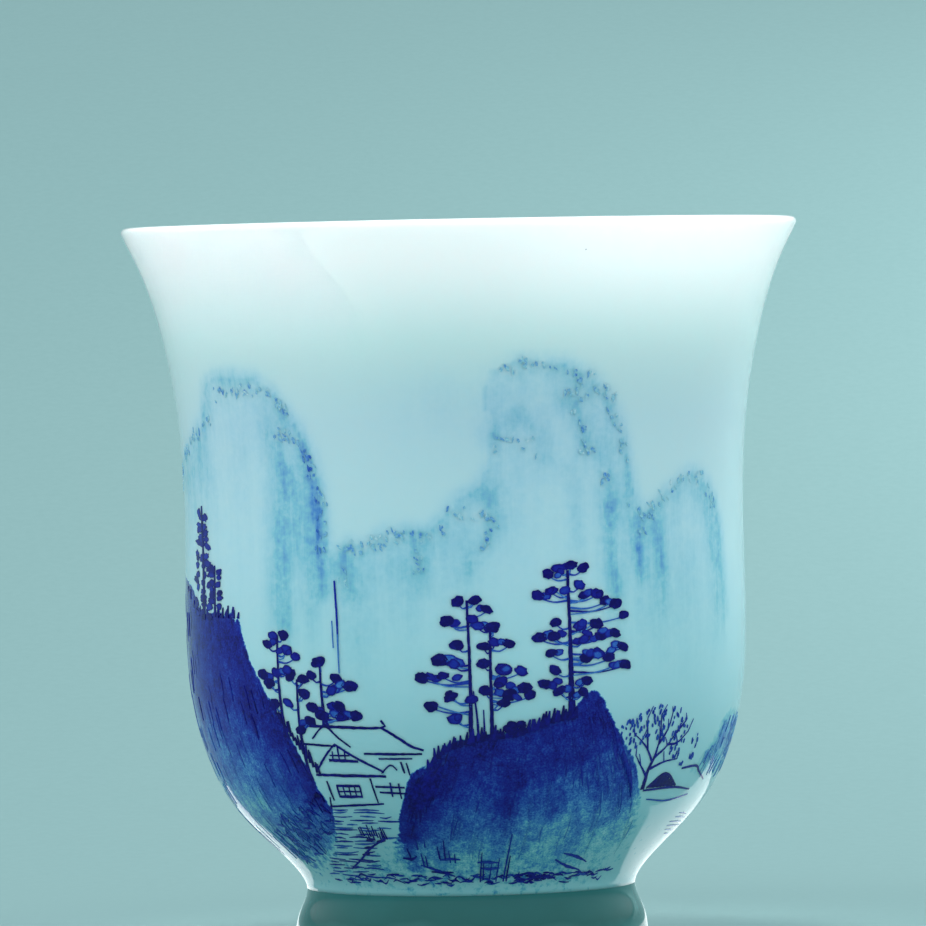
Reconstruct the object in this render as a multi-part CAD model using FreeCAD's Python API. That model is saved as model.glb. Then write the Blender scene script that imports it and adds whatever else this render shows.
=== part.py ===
"""A flared porcelain teacup with a ring foot and an underglaze cobalt landscape, in millimetres.

The cup is built up the way it is made: a thrown porcelain body, a foot ring under it, and the
glaze that covers them inside and out. Where cobalt was painted under the glaze it has stained
the glaze blue right through, so each painted subject is an inlay as deep as the glaze.
The cup stands on Z = 0 with its axis on Z, and the front of the landscape faces -Y.
Angles are in degrees round the axis, 0 at the front, growing towards +X, the viewer's right.
Places on the painted wall are written (angle, height).
"""
import FreeCAD
import Part
import math
import os

os.makedirs("parts", exist_ok=True)

# Driving dimensions
HEIGHT = 71.0
RIM_RADIUS = 33.0
LIP_RADIUS = 0.5
LIP_LEAN = 25.0
WAIST_RADIUS = 16.05
WAIST_HEIGHT = 6.2
FLOOR_HEIGHT = 8.9
GLAZE = 0.3
GLAZE_LINE = 0.9
STAND_INNER = 15.3
STAND_OUTER = 16.3
RECESS_TOP = 14.2
RECESS_BOTTOM = 14.85
RECESS_ROUND = 0.8

Z_AXIS = FreeCAD.Vector(0, 0, 1)
ORIGIN = FreeCAD.Vector(0, 0, 0)


# ---------------------------------------------------------------- the turned shapes

def point(radius, height):
    """A point of a half-section, which lies in the XZ plane."""
    return FreeCAD.Vector(radius, 0, height)


def line(a, b):
    return Part.LineSegment(a, b).toShape()


def smooth_curve(poles):
    """A cubic curve with these (radius, height) control points, from the first to the last."""
    spans = len(poles) - 3
    knots = list(range(spans + 1))
    repeats = [4] + [1] * (spans - 1) + [4]
    curve = Part.BSplineCurve()
    curve.buildFromPolesMultsKnots([point(*p) for p in poles], repeats, knots, False, 3)
    return curve


def offset_curve(curve, distance):
    """The curve moved sideways by distance, to the right of the way it runs."""
    samples = 40
    moved = []
    for i in range(samples + 1):
        at = curve.FirstParameter + (curve.LastParameter - curve.FirstParameter) * i / samples
        along = curve.tangent(at)[0]
        moved.append(curve.value(at) + point(along.z, -along.x) * distance)
    offset = Part.BSplineCurve()
    offset.interpolate(moved)
    return offset


def ends(curve):
    return curve.value(curve.FirstParameter), curve.value(curve.LastParameter)


def turned(edges):
    """The solid made by turning a closed half-section round the Z axis."""
    section = Part.Face(Part.Wire(Part.__sortEdges__(edges)))
    return section.revolve(ORIGIN, Z_AXIS, 360)


LIP_CENTRE = point(RIM_RADIUS - LIP_RADIUS, HEIGHT - LIP_RADIUS)
LIP_ALONG = point(math.sin(math.radians(LIP_LEAN)), math.cos(math.radians(LIP_LEAN)))
LIP_ACROSS = point(LIP_ALONG.z, -LIP_ALONG.x)
LIP_OUTER = LIP_CENTRE + LIP_ACROSS * LIP_RADIUS
LIP_INNER = LIP_CENTRE - LIP_ACROSS * LIP_RADIUS
LIP_TIP = LIP_CENTRE + LIP_ALONG * LIP_RADIUS
CLAY_TIP = LIP_CENTRE + LIP_ALONG * (LIP_RADIUS - GLAZE)


def lip_arc(a, b):
    """The quarter of the lip's round from a to b, which are equally far from its centre."""
    middle = (a - LIP_CENTRE) + (b - LIP_CENTRE)
    middle.normalize()
    return Part.Arc(a, LIP_CENTRE + middle * (a - LIP_CENTRE).Length, b).toShape()


# The bowl's outer face, from the waist above the foot to the flared lip
OUTER = smooth_curve([
    (WAIST_RADIUS, WAIST_HEIGHT), (16.05, 7.7), (22.65, 13.05), (25.15, 17.95), (27.55, 25.6),
    (27.3, 38.8), (27.3, 52.0), (30.3, 65.65), (32.24, 68.76), (LIP_OUTER.x, LIP_OUTER.z)])

# The bowl's inner face, from the middle of its floor to the lip
INNER = smooth_curve([
    (0, FLOOR_HEIGHT), (9.0, FLOOR_HEIGHT), (17.2, 11.0), (23.4, 17.5), (26.0, 27.1),
    (25.75, 41.2), (26.1, 51.7), (28.65, 64.0), (30.57, 67.54), (LIP_INNER.x, LIP_INNER.z)])

# The foot's outer face, from the waist down its splay to where the glaze stops
FOOT = smooth_curve([
    (WAIST_RADIUS, WAIST_HEIGHT), (16.05, 5.4), (16.75, 4.2), (17.25, 2.6), (17.25, GLAZE_LINE)])

CLAY_OUTER = offset_curve(OUTER, -GLAZE)
CLAY_INNER = offset_curve(INNER, GLAZE)
CLAY_FOOT = offset_curve(FOOT, GLAZE)


def between(first, second, first_end, second_end):
    """The turned skin between two curves that run the same way, with its upper end edges."""
    return turned([first.toShape(), second.toShape(),
                   line(ends(first)[0], ends(second)[0])] + first_end + second_end)


def make_body():
    """The thrown bowl: its wall, its floor and its lip, in bare porcelain."""
    base = point(0, WAIST_HEIGHT)
    return turned([
        CLAY_OUTER.toShape(),
        lip_arc(ends(CLAY_OUTER)[1], CLAY_TIP),
        lip_arc(CLAY_TIP, ends(CLAY_INNER)[1]),
        CLAY_INNER.toShape(),
        line(ends(CLAY_INNER)[0], base),
        line(base, ends(CLAY_OUTER)[0])])


def make_foot_ring():
    """The ring foot, splayed outwards, with a bare flat rim that it stands on."""
    chamfer = 0.25
    outer_line, inner_line = ends(CLAY_FOOT)[1], point(RECESS_BOTTOM, GLAZE_LINE)
    outer_edge = point(STAND_OUTER + chamfer, chamfer)
    inner_edge = point(STAND_INNER - chamfer, chamfer)
    top = point(RECESS_TOP, WAIST_HEIGHT)
    return turned([
        CLAY_FOOT.toShape(),
        line(outer_line, outer_edge),
        line(outer_edge, point(STAND_OUTER, 0)),
        line(point(STAND_OUTER, 0), point(STAND_INNER, 0)),
        line(point(STAND_INNER, 0), inner_edge),
        line(inner_edge, inner_line),
        line(inner_line, top),
        line(top, ends(CLAY_FOOT)[0])])


def make_wall_glaze(face, clay):
    """The glaze between a glazed face of the bowl and its clay, up to the tip of the lip."""
    return between(face, clay, [lip_arc(ends(face)[1], LIP_TIP), line(LIP_TIP, CLAY_TIP)],
                   [lip_arc(ends(clay)[1], CLAY_TIP)])


def make_foot_glaze():
    """The glaze on the outside of the foot, which stops short of the rim that it stands on."""
    return between(FOOT, CLAY_FOOT, [line(ends(FOOT)[1], ends(CLAY_FOOT)[1])], [])


def make_base_glaze():
    """The glaze in the recess under the cup, over its ceiling and down the inside of the foot."""
    ceiling = WAIST_HEIGHT - GLAZE
    slope = (RECESS_BOTTOM - RECESS_TOP) / (WAIST_HEIGHT - GLAZE_LINE)
    wall_top = point(RECESS_TOP - GLAZE + slope * (GLAZE + RECESS_ROUND), ceiling - RECESS_ROUND)
    round_end = point(wall_top.x - RECESS_ROUND, ceiling)
    round_middle = point(wall_top.x - 0.27 * RECESS_ROUND, ceiling - 0.27 * RECESS_ROUND)
    top, bottom = point(RECESS_TOP, WAIST_HEIGHT), point(RECESS_BOTTOM, GLAZE_LINE)
    return turned([
        line(point(0, WAIST_HEIGHT), top),
        line(top, bottom),
        line(bottom, bottom - point(GLAZE, 0)),
        line(bottom - point(GLAZE, 0), wall_top),
        Part.Arc(wall_top, round_middle, round_end).toShape(),
        line(round_end, point(0, ceiling)),
        line(point(0, ceiling), point(0, WAIST_HEIGHT))])


# ---------------------------------------------------------------- the painting

def wall_radius(height):
    """How far the painted wall is from the axis at this height."""
    low, high = OUTER.FirstParameter, OUTER.LastParameter
    for _ in range(30):
        middle = (low + high) / 2
        if OUTER.value(middle).z < height:
            low = middle
        else:
            high = middle
    return OUTER.value(low).x


def flat(place, facing):
    """A place on the wall as seen square on from the facing angle, in the XZ plane."""
    angle, height = place
    return point(wall_radius(height) * math.sin(math.radians(angle - facing)), height)


def swept(faces, facing):
    """Flat outlines swept straight out through the wall on the facing side, and merged."""
    bars = [face.extrude(FreeCAD.Vector(0, -30, 0)) for face in faces]
    merged = bars[0].fuse(bars[1:]).removeSplitter() if len(bars) > 1 else bars[0]
    merged.translate(FreeCAD.Vector(0, -7, 0))
    merged.rotate(ORIGIN, Z_AXIS, facing)
    return merged


def wash(facing, upper, lower):
    """A washed area between its skyline and its lower edge, each listed from left to right."""
    edges = []
    for places in (upper, lower):
        curve = Part.BSplineCurve()
        curve.interpolate([flat(p, facing) for p in places])
        edges.append(curve.toShape())
    for at in (0, -1):
        left, right = flat(upper[at], facing), flat(lower[at], facing)
        if (left - right).Length > 0.001:
            edges.append(line(left, right))
    return swept([Part.Face(Part.Wire(Part.__sortEdges__(edges)))], facing)


def stroke(facing, places, width):
    """A brush line of even width through the places."""
    path = [flat(p, facing) for p in places]
    left, right = [], []
    for i, here in enumerate(path):
        along = path[min(i + 1, len(path) - 1)] - path[max(i - 1, 0)]
        along.normalize()
        side = point(-along.z, along.x) * (width / 2)
        left.append(here + side)
        right.append(here - side)
    return Part.Face(Part.makePolygon(left + right[::-1] + left[:1]))


def dab(facing, place, half_length, half_height):
    """A press of the brush, an ellipse that lies level on the wall."""
    centre = flat(place, facing)
    ellipse = Part.Ellipse(centre + point(half_length, 0), centre + point(0, half_height), centre)
    return Part.Face(Part.Wire(ellipse.toShape()))


def pine(facing, foot, top, tiers):
    """A pine: a trunk, and pads of needles, each an (angle, height, half length) on its twig."""
    marks = [stroke(facing, [foot, top], 0.34)]
    for angle, height, half_length in tiers:
        trunk_angle = foot[0] + (top[0] - foot[0]) * (height - foot[1]) / (top[1] - foot[1])
        marks.append(stroke(facing, [(trunk_angle, height - 0.5), (angle, height)], 0.2))
        marks.append(dab(facing, (angle, height), half_length, 0.42))
    return marks


# Far range, washed thin: each skyline and the line where its wash fades out
far_peak_left = wash(
    -62,
    [(-98, 43.5), (-88, 46.5), (-80, 48.7), (-71, 50.6), (-64, 52.6), (-60, 55.0), (-53, 56.2),
     (-44, 56.2), (-37, 53.3), (-33, 49.8), (-30, 45.5), (-28.5, 40.5)],
    [(-98, 43.5), (-86, 44.2), (-70, 46.0), (-56, 48.0), (-46, 47.5), (-36, 44.0), (-28.5, 40.5)])
far_ridge_middle = wash(
    -12,
    [(-27.5, 39.3), (-24, 40.5), (-19, 40.2), (-14, 41.6), (-9, 41.3), (-4, 42.6), (0, 44.6),
     (3, 44.0)],
    [(-27.5, 39.3), (-20, 38.2), (-10, 38.6), (-2, 40.4), (3, 44.0)])
far_peak_centre = wash(
    21,
    [(4.5, 42.0), (5.2, 46.5), (6.5, 51.5), (9, 55.2), (14, 57.2), (20, 57.0), (26, 55.6),
     (30.5, 53.2), (33.5, 49.8), (36, 45.2), (37.8, 42.2)],
    [(4.5, 42.0), (8, 45.0), (15, 48.2), (23, 47.8), (31, 44.8), (37.8, 42.2)])
far_peak_right = wash(
    54,
    [(39.5, 42.0), (43.5, 44.0), (48, 45.3), (54, 46.4), (60, 44.9), (64, 41.5), (67, 37.0)],
    [(39.5, 42.0), (48, 41.8), (57, 41.6), (63, 39.6), (67, 37.0)])
far_slope_back = wash(
    -124,
    [(-150, 34.5), (-141, 36.2), (-131, 37.0), (-120, 39.4), (-109, 40.6), (-99, 43.2)],
    [(-150, 34.5), (-138, 34.0), (-124, 35.4), (-110, 37.6), (-99, 43.2)])
far_shore_right = wash(
    80,
    [(60, 18.2), (65, 20.0), (70, 22.5), (75, 23.1), (84, 22.2), (92, 21.8), (100, 21.0)],
    [(60, 18.2), (70, 17.0), (80, 16.4), (90, 16.8), (100, 21.0)])
far_shore_back = wash(
    126,
    [(101, 20.8), (110, 23.0), (120, 23.6), (132, 21.4), (144, 20.0), (152, 18.0)],
    [(101, 20.8), (112, 17.8), (126, 17.2), (140, 17.2), (152, 18.0)])

# Near land, painted with a loaded brush
near_cliff_left = wash(
    -66,
    [(-98, 36.6), (-88, 37.1), (-80, 36.6), (-73, 35.2), (-66, 33.8), (-57, 33.6), (-52, 31.6),
     (-48, 28.5), (-44, 25.3), (-40, 21.8), (-37, 18.5), (-34, 15.4)],
    [(-98, 12.6), (-84, 9.6), (-66, 9.9), (-54, 11.4), (-44, 13.0), (-34, 15.4)])
near_cliff_back = wash(
    -120,
    [(-142, 13.5), (-136, 18.6), (-129, 23.4), (-122, 28.6), (-114, 31.2), (-106, 35.0),
     (-98.5, 36.6)],
    [(-142, 13.5), (-130, 11.2), (-116, 10.4), (-106, 12.6), (-98.5, 12.6)])
near_hill_centre = wash(
    16,
    [(-18, 12.3), (-15, 16.0), (-12, 18.8), (-6, 20.8), (0, 22.0), (8, 22.4), (16, 23.3),
     (21.5, 23.9), (25, 25.8), (29, 24.9), (33.5, 22.0), (40, 18.2), (45, 14.6), (51, 9.7)],
    [(-18, 12.3), (-10, 9.0), (2, 8.0), (18, 7.8), (34, 8.0), (44, 8.2), (51, 9.7)])

# Trees
CYPRESS_AT = -67
CYPRESS_TIERS = 9
cypress_marks = [stroke(CYPRESS_AT, [(CYPRESS_AT, 33.2), (CYPRESS_AT - 0.6, 43.6)], 0.34)]
for i in range(CYPRESS_TIERS):
    spread = 0.55 + 0.26 * i
    cypress_marks.append(dab(CYPRESS_AT, (CYPRESS_AT - 0.5, 42.4 - i), spread, 0.34))
cypress = swept(cypress_marks, CYPRESS_AT)

pines_left = swept(
    pine(-36, (-41, 22.6), (-41, 31.6),
         [(-42, 31.8, 1.1), (-39.3, 31.0, 1.0), (-44.4, 30.4, 1.0), (-37.4, 29.7, 0.8),
          (-44.8, 27.9, 1.0)])
    + pine(-36, (-37, 18.4), (-36.5, 27.6),
           [(-38, 28.0, 0.9), (-34.8, 27.0, 1.1), (-39.3, 26.5, 0.9), (-35, 25.4, 0.8)])
    + pine(-36, (-30.5, 23.6), (-31, 29.0),
           [(-31, 29.3, 1.4), (-27.5, 27.6, 1.1), (-24, 27.0, 1.2), (-33.4, 25.0, 0.9),
            (-27.2, 25.0, 0.9)]), -36)

pines_centre = swept(
    pine(2, (0.3, 21.2), (0.3, 35.2),
         [(-1.5, 35.2, 0.9), (2.2, 34.6, 1.0), (-3.7, 33.0, 1.4), (-2.0, 30.8, 0.9),
          (-5.6, 29.4, 1.3), (-8.6, 27.8, 0.9), (-4.6, 27.8, 0.8), (-3.6, 25.6, 0.9),
          (-7.4, 25.0, 0.9)])
    + pine(2, (4.5, 21.8), (4.5, 32.2),
           [(4.6, 32.5, 1.3), (8.2, 30.8, 1.0), (3.4, 30.2, 0.8), (7.2, 28.4, 1.0),
            (10.6, 28.1, 0.9), (11.4, 26.7, 0.9), (8.0, 25.8, 1.4)]), 2)

pine_right = swept(
    pine(23, (21, 22.6), (20.6, 37.6),
         [(18.2, 37.7, 1.3), (23.2, 38.0, 1.2), (14.6, 35.4, 1.1), (24.0, 36.1, 1.1),
          (27.6, 35.1, 1.2), (31.2, 34.3, 1.2), (17.4, 32.6, 0.9), (14.6, 31.3, 1.2),
          (25.2, 32.4, 1.5), (29.6, 31.5, 1.3), (17.0, 29.8, 0.9), (26.0, 29.5, 1.4),
          (32.4, 28.6, 1.1), (16.0, 27.2, 1.1), (24.2, 27.2, 0.9)]), 23)

TREE_FORK = (44, 19.2)
BRANCH_TIPS = [(36.5, 22.2), (40.8, 24.2), (45.5, 23.6), (50.2, 22.6), (54.6, 20.6)]
tree_marks = [stroke(45, [(43, 16.4), TREE_FORK], 0.4)]
for tip in BRANCH_TIPS:
    bend = ((TREE_FORK[0] + tip[0]) / 2, (TREE_FORK[1] + tip[1]) / 2 + 0.5)
    tree_marks.append(stroke(45, [TREE_FORK, bend, tip], 0.22))
    tree_marks.append(dab(45, tip, 0.6, 0.42))
    tree_marks.append(dab(45, bend, 0.5, 0.36))
bare_tree = swept(tree_marks, 45)

# Buildings, boats and water
COTTAGE_FRONT = -26
COTTAGE_LINES = [
    [(-31, 23.1), (-18, 23.0)], [(-18, 23.0), (-14.5, 22.0), (-9.5, 20.8)],
    [(-31, 23.1), (-34, 22.0)], [(-30, 23.1), (-25.5, 21.2)], [(-22.5, 20.5), (-9.5, 20.7)],
    [(-37, 21.4), (-29, 21.3)], [(-29, 21.4), (-35, 18.7)], [(-29, 21.4), (-18.5, 18.8)],
    [(-31, 19.8), (-24.4, 19.8)], [(-35.4, 18.4), (-18.2, 18.4)], [(-33, 18.4), (-32.5, 15.4)],
    [(-22, 18.4), (-21, 15.5)], [(-30.5, 17.3), (-24.8, 17.3)], [(-30.5, 16.3), (-24.8, 16.3)],
    [(-30.5, 18.4), (-30.5, 15.5)], [(-27.6, 18.4), (-27.6, 15.5)], [(-24.8, 18.4), (-24.8, 15.5)],
    [(-34, 15.3), (-20, 15.6)], [(-18.5, 18.8), (-14.5, 20.6)], [(-21.4, 17.2), (-14.4, 17.0)],
    [(-17.5, 18.0), (-17.4, 16.2)]]
cottage = swept([stroke(COTTAGE_FRONT, run, 0.22) for run in COTTAGE_LINES], COTTAGE_FRONT)

BOAT_LINES = [
    [(44.5, 16.3), (49, 17.7), (54.5, 16.4)], [(44, 16.2), (62, 16.0)],
    [(49, 17.7), (60, 18.0)], [(60, 18.0), (66, 16.6)], [(62, 16.0), (66, 16.6)]]
moored_boat = swept([stroke(55, run, 0.3) for run in BOAT_LINES], 55)

RIPPLE_ROWS = 7
ripple_marks = []
for i in range(RIPPLE_ROWS):
    height = 14.0 - 0.75 * i
    start = -33.0 - 2.0 * i
    run = [(start + 2.6 * step, height + 0.12 * (step % 2)) for step in range(5)]
    ripple_marks.append(stroke(-36, run, 0.2))
ripple_marks.append(stroke(-36, [(-25, 14.4), (-31, 12.6), (-39, 10.6), (-47, 8.9)], 0.2))
water_ripples = swept(ripple_marks, -36)

SHORE_STROKES = [
    [(-16, 9.2), (-11, 8.6), (-5, 8.1)], [(-11, 8.6), (-9, 7.6), (4, 7.3)],
    [(4, 7.3), (16, 7.6), (27, 7.5)], [(27, 7.5), (40, 7.7), (49, 8.4)]]
shoreline = swept([stroke(16, run, 0.5) for run in SHORE_STROKES], 16)

# Later strokes lie over earlier washes, so each shape gives way to those listed after it
PAINTING = [
    ("far_slope_back", far_slope_back), ("far_peak_left", far_peak_left),
    ("far_ridge_middle", far_ridge_middle), ("far_peak_centre", far_peak_centre),
    ("far_peak_right", far_peak_right), ("far_shore_back", far_shore_back),
    ("far_shore_right", far_shore_right), ("near_cliff_back", near_cliff_back),
    ("near_cliff_left", near_cliff_left), ("near_hill_centre", near_hill_centre),
    ("cypress", cypress), ("pines_left", pines_left), ("pines_centre", pines_centre),
    ("pine_right", pine_right), ("water_ripples", water_ripples), ("cottage", cottage),
    ("moored_boat", moored_boat), ("bare_tree", bare_tree), ("shoreline", shoreline)]

outer_glaze = make_wall_glaze(OUTER, CLAY_OUTER)

nodes = {
    "porcelain_body": make_body(),
    "foot_ring": make_foot_ring(),
    "inner_glaze": make_wall_glaze(INNER, CLAY_INNER),
    "foot_glaze": make_foot_glaze(),
    "base_glaze": make_base_glaze()}

for i, (name, painted) in enumerate(PAINTING):
    later = [shape for _, shape in PAINTING[i + 1:] if painted.BoundBox.intersect(shape.BoundBox)]
    nodes[name] = outer_glaze.common(painted.cut(later) if later else painted)

nodes["outer_glaze"] = outer_glaze.cut([painted for _, painted in PAINTING])

for name, shape in nodes.items():
    shape.exportStep("parts/" + name + ".step")
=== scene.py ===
import math
import random
from random import uniform

import bpy
import numpy as np
from mathutils import Matrix, Vector


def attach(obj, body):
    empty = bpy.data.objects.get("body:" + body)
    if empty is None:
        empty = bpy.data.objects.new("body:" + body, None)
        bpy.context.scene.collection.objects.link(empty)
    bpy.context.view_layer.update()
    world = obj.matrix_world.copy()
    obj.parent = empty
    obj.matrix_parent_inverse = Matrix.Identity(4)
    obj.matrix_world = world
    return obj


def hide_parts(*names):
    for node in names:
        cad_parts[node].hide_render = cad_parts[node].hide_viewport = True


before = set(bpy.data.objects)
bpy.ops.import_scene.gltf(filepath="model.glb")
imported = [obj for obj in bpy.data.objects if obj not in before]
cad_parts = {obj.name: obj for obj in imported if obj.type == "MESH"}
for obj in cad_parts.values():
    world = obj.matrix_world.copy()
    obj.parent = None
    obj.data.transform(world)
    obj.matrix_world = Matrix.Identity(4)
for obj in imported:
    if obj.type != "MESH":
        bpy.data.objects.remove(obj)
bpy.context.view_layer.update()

MM = 0.001
HEIGHT = 71.0
RIM_RADIUS = 33.0
LIP_RADIUS = 0.5
LIP_LEAN = math.radians(25.0)
WAIST = (16.05, 6.2)
OUTER_POLES = [WAIST, (16.05, 7.7), (22.65, 13.05), (25.15, 17.95), (27.55, 25.6), (27.3, 38.8),
               (27.3, 52.0), (30.3, 65.65), (32.24, 68.76)]
INNER_POLES = [(0, 8.9), (9.0, 8.9), (17.2, 11.0), (23.4, 17.5), (26.0, 27.1), (25.75, 41.2),
               (26.1, 51.7), (28.65, 64.0), (30.57, 67.54)]
COLUMNS = 400
# Places are measured along the wall at this many millimetres to a degree, as at a radius of 27.3 mm
MM_PER_DEGREE = 0.4765


# ---------------------------------------------------------------- geometry helpers

def spline_points(poles, samples):
    """Points along the clamped cubic B-spline with these control points."""
    poles = np.array(poles, float)
    spans = len(poles) - 3
    knots = np.concatenate([[0] * 3, np.arange(spans + 1), [spans] * 3])
    points = []
    for t in np.linspace(0, spans, samples):
        k = min(int(t), spans - 1) + 3
        d = [poles[j + k - 3].copy() for j in range(4)]
        for r in range(1, 4):
            for j in range(3, r - 1, -1):
                i = j + k - 3
                a = (t - knots[i]) / (knots[i + 4 - r] - knots[i])
                d[j] = (1 - a) * d[j - 1] + a * d[j]
        points.append(d[3])
    return np.array(points)


def smooth_path(points, step):
    """A Catmull-Rom curve through the points, sampled about every step of length."""
    p = np.array(points, float)
    if len(p) < 3:
        n = max(2, int(np.hypot(*(p[1] - p[0])) / step) + 1)
        return p[0] + (p[1] - p[0]) * np.linspace(0, 1, n)[:, None]
    q = np.vstack([2 * p[0] - p[1], p, 2 * p[-1] - p[-2]])
    out = []
    for i in range(1, len(q) - 2):
        n = max(2, int(np.hypot(*(q[i + 1] - q[i])) / step) + 1)
        t = np.linspace(0, 1, n, endpoint=False)[:, None]
        a, b, c, d = q[i - 1], q[i], q[i + 1], q[i + 2]
        out.append(0.5 * (2 * b + (c - a) * t + (2 * a - 5 * b + 4 * c - d) * t ** 2
                          + (3 * b - a - 3 * c + d) * t ** 3))
    return np.vstack(out + [p[-1:]])


lip_across = np.array([math.cos(LIP_LEAN), -math.sin(LIP_LEAN)])
lip_along = np.array([math.sin(LIP_LEAN), math.cos(LIP_LEAN)])
lip_centre = np.array([RIM_RADIUS - LIP_RADIUS, HEIGHT - LIP_RADIUS])
OUTER_LINE = spline_points(OUTER_POLES + [tuple(lip_centre + lip_across * LIP_RADIUS)], 900)
INNER_LINE = spline_points(INNER_POLES + [tuple(lip_centre - lip_across * LIP_RADIUS)], 70)


def wall_radius(z):
    return np.interp(z, OUTER_LINE[:, 1], OUTER_LINE[:, 0])


def on_wall(degrees, z, lift):
    """The place on the outside of the bowl, lifted off it by lift mm along its normal, in metres."""
    z = np.asarray(z, float)
    slope = (wall_radius(z + 0.1) - wall_radius(z - 0.1)) / 0.2
    size = np.sqrt(1 + slope ** 2)
    r = wall_radius(z) + lift / size
    h = z - lift * slope / size
    a = np.radians(degrees)
    return np.stack([r * np.sin(a), -r * np.cos(a), h], axis=-1) * MM


def distance_to_edge(a, b, x, z):
    """How far each place is from the straight edge between a and b, in mm."""
    e = b - a
    t = np.clip(((x - a[0]) * e[0] + (z - a[1]) * e[1]) / (e @ e), 0, 1)
    return np.hypot(x - a[0] - t * e[0], z - a[1] - t * e[1])


def distance_to(line, x, z):
    """How far each place is from an open line, in mm."""
    corners = np.array(line, float) * (MM_PER_DEGREE, 1)
    return np.minimum.reduce([distance_to_edge(a, b, x, z) for a, b in zip(corners[:-1], corners[1:])])


def signed_distance(outline, x, z):
    """How far inside a closed outline each place is, in mm: negative outside."""
    corners = np.array(outline, float) * (MM_PER_DEGREE, 1)
    inside = np.zeros(x.shape, bool)
    for a, b in zip(corners, np.roll(corners, -1, axis=0)):
        crosses = (a[1] > z) != (b[1] > z)
        rise = b[1] - a[1] if b[1] != a[1] else 1e-9
        inside ^= crosses & (x < a[0] + (z - a[1]) * (b[0] - a[0]) / rise)
    distance = distance_to(list(outline) + [outline[0]], x, z)
    return np.where(inside, distance, -distance)


def tone_field(samples, x, z):
    """A smooth field through (degrees, height, value) samples."""
    total = np.zeros(x.shape)
    weights = np.zeros(x.shape)
    for degrees, height, value in samples:
        w = 1 / (((x - degrees * MM_PER_DEGREE) ** 2 + (z - height) ** 2) + 0.6) ** 1.6
        total += w * value
        weights += w
    return total / weights


def add_attribute(mesh, name, values):
    attribute = mesh.attributes.new(name, "FLOAT", "POINT")
    attribute.data.foreach_set("value", np.asarray(values, np.float32).ravel())


def make_object(name, verts, faces, crease=None):
    mesh = bpy.data.meshes.new(name)
    mesh.from_pydata([tuple(v) for v in verts], [], faces)
    mesh.update()
    mesh.polygons.foreach_set("use_smooth", [True] * len(mesh.polygons))
    if crease is not None:
        mesh.set_sharp_from_angle(angle=math.radians(crease))
    obj = bpy.data.objects.new(name, mesh)
    bpy.context.scene.collection.objects.link(obj)
    return obj


# ---------------------------------------------------------------- the landscape's washes

NEAR_CLIFF = [
    (-142, 13.5), (-136, 18.6), (-129, 23.4), (-122, 28.6), (-114, 31.2), (-106, 35), (-98, 36.6),
    (-88, 37.1), (-80, 36.6), (-75, 36), (-70, 34), (-66, 33.6), (-60, 33.8), (-57, 33.5),
    (-55.5, 33.8), (-54.2, 33), (-53, 33.5), (-51.8, 32.2), (-50, 29.8), (-48, 28.3),
    (-46, 26.9), (-44, 25.3), (-42, 23.7), (-40, 21.8), (-38, 19.7), (-36.6, 18),
    (-35.4, 16.4), (-34, 15), (-35.5, 13.2), (-39, 11.8), (-43, 10.7), (-49, 9.6), (-58, 8.9),
    (-70, 8.8), (-84, 9), (-98, 10.6), (-116, 10.2), (-130, 11)]
NEAR_HILL = [
    (-19, 12), (-17, 14.2), (-15.2, 16), (-13.6, 17.8), (-12, 18.8), (-9, 19.3), (-7, 20.3),
    (-5, 21.2), (-2, 21.7), (2, 22.2), (6, 22.3), (10, 22.4), (14, 23.1), (18, 23.8), (22, 24.2),
    (25, 26.1), (27, 26.2), (29, 25), (31, 23.4), (33.5, 21.8), (36, 20.4), (38.5, 19.1),
    (40, 18.1), (41.5, 16.9), (43, 15.8), (45, 14.4), (47.5, 12.5), (49, 11), (51.5, 9.4),
    (49, 8.1), (40, 7.8), (28, 7.4), (14, 7.3), (0, 7.4), (-12, 7.7), (-22, 7.8), (-40, 7.6),
    (-46, 8.2), (-40, 9), (-28, 9.8), (-23, 10.8)]
FAR_LAND_RIGHT = [
    (59, 18), (62, 18.3), (66, 20.3), (70, 22.4), (75, 23.1), (84, 22.2), (92, 21.6),
    (100, 21), (110, 23), (120, 23.6), (132, 21.4), (144, 20), (152, 18), (140, 16.8),
    (120, 16.4), (100, 16.2), (84, 16.2), (70, 16.6)]

# How dark the near washes are: (degrees, height, tone)
CLIFF_TONES = [
    (-90, 33, 0.8), (-78, 33, 0.86), (-66, 31, 0.93), (-54, 31, 0.9), (-74, 26, 0.86),
    (-62, 26, 0.84), (-50, 25, 0.93), (-44, 22, 0.97), (-39, 19.5, 0.97), (-58, 22, 0.62),
    (-70, 21, 0.56), (-50, 20.5, 0.68), (-62, 18, 0.42), (-54, 18, 0.46), (-46, 18.5, 0.6),
    (-42, 16.5, 0.62), (-37.5, 16.8, 0.84), (-50, 15.5, 0.44), (-58, 14.5, 0.32), (-66, 14.5, 0.28),
    (-44, 14.2, 0.48), (-39, 13.4, 0.5), (-52, 12.8, 0.36), (-44, 11.6, 0.42), (-52, 10.2, 0.4),
    (-62, 10.4, 0.34), (-60, 12.2, 0.32), (-72, 11.6, 0.24), (-84, 15, 0.3),
    (-84, 22, 0.56), (-98, 28, 0.7), (-98, 18, 0.42), (-112, 24, 0.6), (-112, 15, 0.4),
    (-124, 18, 0.55), (-132, 14, 0.4)]
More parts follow.
